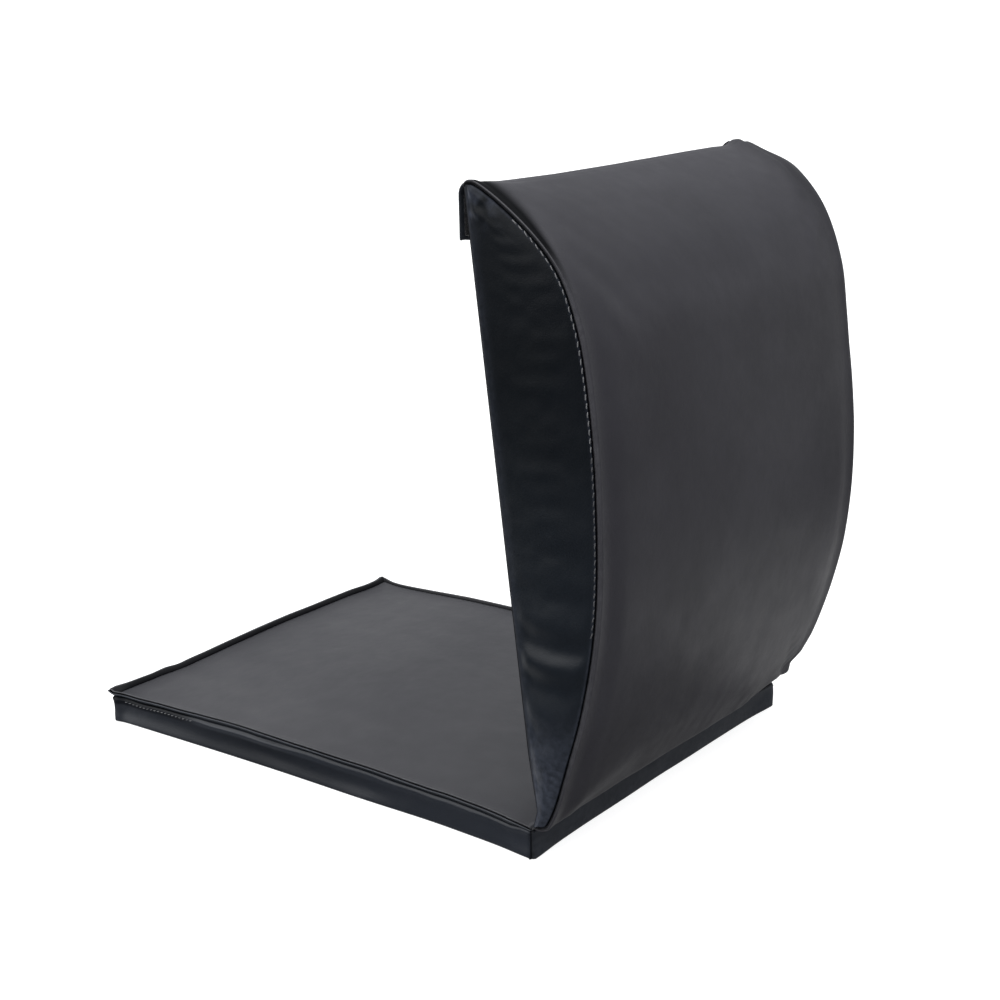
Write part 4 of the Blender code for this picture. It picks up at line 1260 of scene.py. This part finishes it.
# Edge columns of the curved panel that swell with it, and the run in which a gusset swells
SWELLING_EDGE = 4
SIDE_SWELLING = (30 * MM, 384 * MM)

path, path_normals, path_places = arch_path()
points, wear_and_highlight, shade = arch_front_points(path, path_normals, path_places)
seam = len(edge_profile()[0]) - SWELLING_EDGE
points += swelling(points, (6, -8, 52), (seam, -1 - seam, 40), (0, -1, 0),
                   pressure=40, growth=0.0012, cap=2.2 * MM)
arch_front = grid_piece("arch_front", points, (0, -1, 0), wear_and_highlight, shade)
dress(arch_front, FACE_ARCH, "arch_pad",
      ("arch_curved_panel", "arch_foam", "arch_left_seam_roll", "arch_right_seam_roll"))

side_grids = {}
for label, side in (("left", -1), ("right", 1)):
    points, wear_and_highlight, shade = arch_side_points(path, path_normals, side)
    low, high = (int(np.argmax(path[:, 0] > along)) for along in SIDE_SWELLING)
    columns = (8, len(SIDE_COLUMNS) + SIDE_MIDDLE - 1, 14)
    points += swelling(points, (low, high, 54), columns, (side, 0, 0), pressure=12, growth=0, cap=0.6 * MM)
    side_grids[label] = points
    gusset = grid_piece(f"arch_{label}_side", points, (side, 0, 0), wear_and_highlight, shade)
    dress(gusset, SIDE_ARCH, "arch_pad", (f"arch_{label}_gusset",))

points, wear_and_highlight = arch_back_points()
points += swelling(points, (1, -2, 44), (2, -3, 34), (0, 1, 0), pressure=12, growth=0.002, cap=0.8 * MM)
arch_back = grid_piece("arch_back", points, (0, 1, 0), wear_and_highlight)
dress(arch_back, FACE_ARCH, "arch_pad", ("arch_flat_panel",))

column = int(np.argmin(np.abs(np.array(SIDE_COLUMNS) * MM - STITCH_PLACE)))
# Below the middle place the stitches get the thread painted darker with shade
seam_parts = (("", STITCHES_SHADED_BELOW, STITCHES_HIGH, THREAD), ("_low", STITCHES_LOW, STITCHES_SHADED_BELOW, SHADED_THREAD))
for label, side in (("left", -1), ("right", 1)):
    grid = side_grids[label]
    along = path[:len(grid), 0]
    for part, low, high, yarn in seam_parts:
        rows = slice(int(np.argmax(along > low)), int(np.argmax(along > high)))
        normals = grid_normals(grid)[rows, column]
        normals *= np.sign(normals[:, :1] * side)
        stitches = stitch_row(f"arch_{label}{part}_stitches", grid[rows, column], normals,
                              pitch=5 * MM, length=4 * MM, radius=0.38 * MM, slant=0.16 * side)
        dress(stitches, yarn, "arch_pad")

# Seat pad

points, wear_and_highlight, shade = seat_top_points()
points += swelling(points, (5, -19, 46), (18, -19, 36), (0, 0, 1), pressure=20, growth=0.002, cap=0.7 * MM)
seat_top = grid_piece("seat_top", points, (0, 0, 1), wear_and_highlight, shade)
dress(seat_top, FACE_SEAT, "seat_pad", ("seat_top_panel", "seat_foam"))

OUTWARD = {"left": (-1, 0, 0), "right": (1, 0, 0), "rear": (0, 1, 0)}
WALL_COLUMN = 10
STITCH_COLUMN = ROLL_ROWS + len(WALL) - 5
for label, outward in OUTWARD.items():
    points, wear_and_highlight, shade = band_points(label)
    band = grid_piece(f"seat_{label}_side", points, outward, wear_and_highlight, shade, WALL_COLUMN)
    dress(band, SIDE_SEAT, "seat_pad", (f"seat_{label}_band",))
    kept = slice(4, -4) if label == "rear" else slice(int(len(points) * 0.78), int(len(points) * 0.955))
    rail = points[kept, STITCH_COLUMN]
    stitches = stitch_row(f"seat_{label}_stitches", rail, np.array([outward] * len(rail), float),
                          pitch=3.6 * MM, length=2.5 * MM, radius=0.3 * MM, slant=0.25, sink=0.0)
    dress(stitches, THREAD, "seat_pad")

points, wear_and_highlight, shade = front_band_points()
front_band = grid_piece("seat_front_side", points, (0, -1, 0), wear_and_highlight, shade)
dress(front_band, SIDE_SEAT, "seat_pad", ("seat_front_band",))

points, wear_and_highlight = bottom_points()
bottom = grid_piece("seat_bottom", points, (0, 0, -1), wear_and_highlight)
dress(bottom, SIDE_SEAT, "seat_pad", ("seat_bottom_panel",))


# Loop strip on the rear band

def seat_wave(points):
    return draw_in(points[..., 0], points[..., 1], points[..., 2])


loop_line = [(SEAT_REAR + 0.75 * MM, z * MM) for z in (3.6, 4.2, 6.0, 8.0, 10.0, 12.0, 14.0, 14.9, 15.4)]
loops = thick_strip("seat_loops", loop_line, (-135 * MM, 135 * MM), 1.4 * MM, seat_wave, columns=60)
dress(loops, LOOPS, "seat_pad", ("seat_loop_strip",))

# Hinge cloth

hinge = thick_strip("hinge_cloth", hinge_line(), (-148.4 * MM, 148.4 * MM), 0.8 * MM)
dress(hinge, FACE_SEAT, None, ("hinge_seat_leaf", "hinge_arch_leaf"))
hinge_run = float(lengths_along(hinge_line())[-1])
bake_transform(hinge)


# Closure flap with its hook strip

def flap_wave(points):
    """Bend a flat piece of the flap to the sagging top edge, and into the hollow behind it."""
    x, y, z = points[..., 0], points[..., 1], points[..., 2]
    hang = ease((FLAP_PIVOT[1] + 2 * MM - z) / (30 * MM))
    share = np.clip(x / ARCH_HALF, -1, 1)
    lowest = lerp(-1.9 * MM, 3.6 * MM, ease((share + 0.8) / 1.6))
    dip = np.maximum(sag(ARCH_LENGTH, share), lowest) * lerp(1, 0.75, hang)
    wave = 0.5 * MM * uneven("flap_wave", x) * hang
    inner = ease((FLAP_HALF_WIDTH - 4 * MM + x) / (11 * MM)) * lerp(1, 0.47, ease((x - 137 * MM) / (9 * MM)))
    pull = FLAP_PULL * ease((FLAP_PIVOT[1] - 3 * MM - z) / (11 * MM)) * inner
    return np.stack([x, y + wave - pull, z - dip], -1)


flap_ends = (-FLAP_HALF_WIDTH, FLAP_HALF_WIDTH)
flap = thick_strip("closure_flap_cloth", flap_line(), flap_ends, 1.5 * MM, flap_wave)
dress(flap, SIDE_SEAT, None, ("closure_flap", "flap_root_tape"))
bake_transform(flap)
float(lengths_along(flap_line())[-1])
hook_line = flap_places(*((3.7, drop) for drop in (7.2, 7.8, 10, 14, 18, 22, 26, 28.6, 29.2)))
hooks = thick_strip("flap_hooks", hook_line, (-149 * MM, 139 * MM), 1.3 * MM, flap_wave, columns=60)
dress(hooks, HOOKS, "flap", ("flap_hook_strip",))


# Stitch rows along the flap and the hinge cloth

def straight_stitches(name, rail, direction, body):
    normals = np.array([direction] * len(rail))
    stitches = stitch_row(name, rail, normals, pitch=4 * MM, length=2.9 * MM, radius=0.3 * MM,
                          slant=0.12, sink=0.0)
    dress(stitches, THREAD, body)


across = np.linspace(-145 * MM, 145 * MM, 146)
for label, drop in (("upper", 8.5), ("lower", 28.8)):
    y, z = flap_places((6.05, drop))[0]
    rail = np.stack([across, 0 * across + y, 0 * across + z], -1)
    straight_stitches(f"flap_{label}_stitches", flap_wave(rail), (0, 1.0, 0), "flap")
rail = arch_world(across, 12 * MM, flat_side(12 * MM) - 0.75 * MM)
straight_stitches("hinge_stitches", rail, (0, math.cos(LEAN), -math.sin(LEAN)), "arch_pad")

# Floor, light and camera

FLOOR_REACH = 24
BACKDROP_HEIGHT = 16
BACKDROP_SIDES = 64


def pale_paint(name, colour, glow):
    material, tree, shader = new_material(name)
    connect(tree, shader, Base_Color=(colour, colour, colour, 1), Emission_Color=(1, 1, 1, 1),
            Emission_Strength=glow, Roughness=0.9, Specular_IOR_Level=0.0)
    return material


def make_stage():
    """Pale floor, and a pale wall far behind it that only the camera sees."""
    turns = np.linspace(0, 2 * math.pi, BACKDROP_SIDES, endpoint=False)
    ring = np.stack([np.cos(turns) * FLOOR_REACH, np.sin(turns) * FLOOR_REACH, 0 * turns], -1)
    floor = new_object("floor", ring, np.arange(BACKDROP_SIDES)[None, :])
    floor.data.materials.append(pale_paint("floor_paint", 0.38, 0.82))
    floor.visible_glossy = False
    low, high = np.arange(BACKDROP_SIDES), np.arange(BACKDROP_SIDES) + BACKDROP_SIDES
    faces = np.stack([low, np.roll(low, -1), np.roll(high, -1), high], -1)
    wall = new_object("backdrop", np.vstack([ring, ring + (0, 0, BACKDROP_HEIGHT)]), faces)
    wall.data.materials.append(pale_paint("backdrop_paint", 0.0, 1.0))
    for item in ("diffuse", "glossy", "transmission", "shadow"):
        setattr(wall, f"visible_{item}", False)
    floor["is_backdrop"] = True
    wall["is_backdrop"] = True


SKY = (
    # height of the direction, brightness
    (-1.0, 0.07), (-0.10, 0.075), (0.02, 0.14), (0.18, 0.38), (0.45, 0.74), (1.0, 0.92),
)
SKY_TINT = (0.96, 0.98, 1.03)
SKY_STRENGTH = 0.9
GLOWS = (
    # direction, cosines where the glow is full and where it ends, brightness
    ((0.45, 0.85, -0.42), 0.90, 0.60, 0.95),
    ((-0.66, 0.56, 0.50), 0.93, 0.76, 2.6),
    ((0.95, 0.0, -0.27), 0.975, 0.87, 0.30),
)


def vector_math(tree, kind, first, second):
    made = tree.nodes.new("ShaderNodeVectorMath")
    made.operation = kind
    feed(tree, made.inputs[0], first)
    feed(tree, made.inputs[1], second)
    return made


def make_world():
    """Studio light: brighter towards the top, with soft glows in a few directions."""
    world = bpy.data.worlds.new("studio")
    bpy.context.scene.world = world
    world.use_nodes = True
    tree = world.node_tree
    place = tree.nodes.new("ShaderNodeTexCoord").outputs["Generated"]
    height = node(tree, "ShaderNodeSeparateXYZ", Vector=place).outputs["Z"]
    colours = node(tree, "ShaderNodeValToRGB", Fac=ramp(tree, height, -1, 1))
    band = colours.color_ramp
    while len(band.elements) < len(SKY):
        band.elements.new(0.5)
    for element, (level, value) in zip(band.elements, SKY):
        element.position = (level + 1) / 2
        element.color = (*(value * tint for tint in SKY_TINT), 1)
    total = colours.outputs["Color"]
    for direction, full, end, value in GLOWS:
        near = vector_math(tree, "DOT_PRODUCT", place, Vector(direction).normalized()).outputs["Value"]
        glow = ramp(tree, near, end, full, 0.0, value, "SMOOTHSTEP")
        total = vector_math(tree, "ADD", total, glow).outputs["Vector"]
    connect(tree, tree.nodes["Background"], Color=total, Strength=SKY_STRENGTH)


def new_lamp(name, kind, power, direction):
    """Lamp that shines in a direction."""
    lamp = bpy.data.lights.new(name, kind)
    lamp.energy = power
    item = bpy.data.objects.new(name, lamp)
    bpy.context.scene.collection.objects.link(item)
    item.rotation_euler = Vector(direction).to_track_quat("-Z", "Y").to_euler()
    return item


def make_panel(name, place, target, size, power):
    """Flat softbox that shines from its place to the target."""
    item = new_lamp(name, "AREA", power, Vector(target) - Vector(place))
    item.data.shape = "RECTANGLE"
    item.data.size, item.data.size_y = size
    item.location = place
    item.visible_camera = False


CAMERA_PLACE = (-0.9943, -0.8164, 0.5420)
CAMERA_RIGHT = (0.60569, -0.79559, -0.01371)
CAMERA_DOWN = (-0.23293, -0.16080, -0.95911)
CAMERA_AHEAD = (0.76085, 0.58411, -0.28271)
CAMERA_LENS = 67.56
SENSOR_WIDTH = 36


def make_camera():
    data = bpy.data.cameras.new("camera")
    data.lens = CAMERA_LENS
    data.sensor_width = SENSOR_WIDTH
    data.clip_start = 0.05
    data.clip_end = 200
    item = bpy.data.objects.new("camera", data)
    bpy.context.scene.collection.objects.link(item)
    turn = Matrix((CAMERA_RIGHT, -Vector(CAMERA_DOWN), -Vector(CAMERA_AHEAD))).transposed()
    item.matrix_world = Matrix.Translation(CAMERA_PLACE) @ turn.to_4x4()
    bpy.context.scene.camera = item


make_stage()
make_world()
sun = new_lamp("overhead", "SUN", 2.6, (0.10, 0.20, -1.0))
sun.data.angle = math.radians(60)
make_panel("bounce", (0.32, -0.33, 0.003), (0.32, -0.33, 1), (0.40, 0.22), 0.14)
make_panel("right_side", (0.483, -0.45, 0.31), (0.13, -0.27, 0.275), (0.12, 0.42), 0.10)
make_camera()
bpy.context.scene.view_settings.view_transform = "Standard"

low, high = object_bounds()
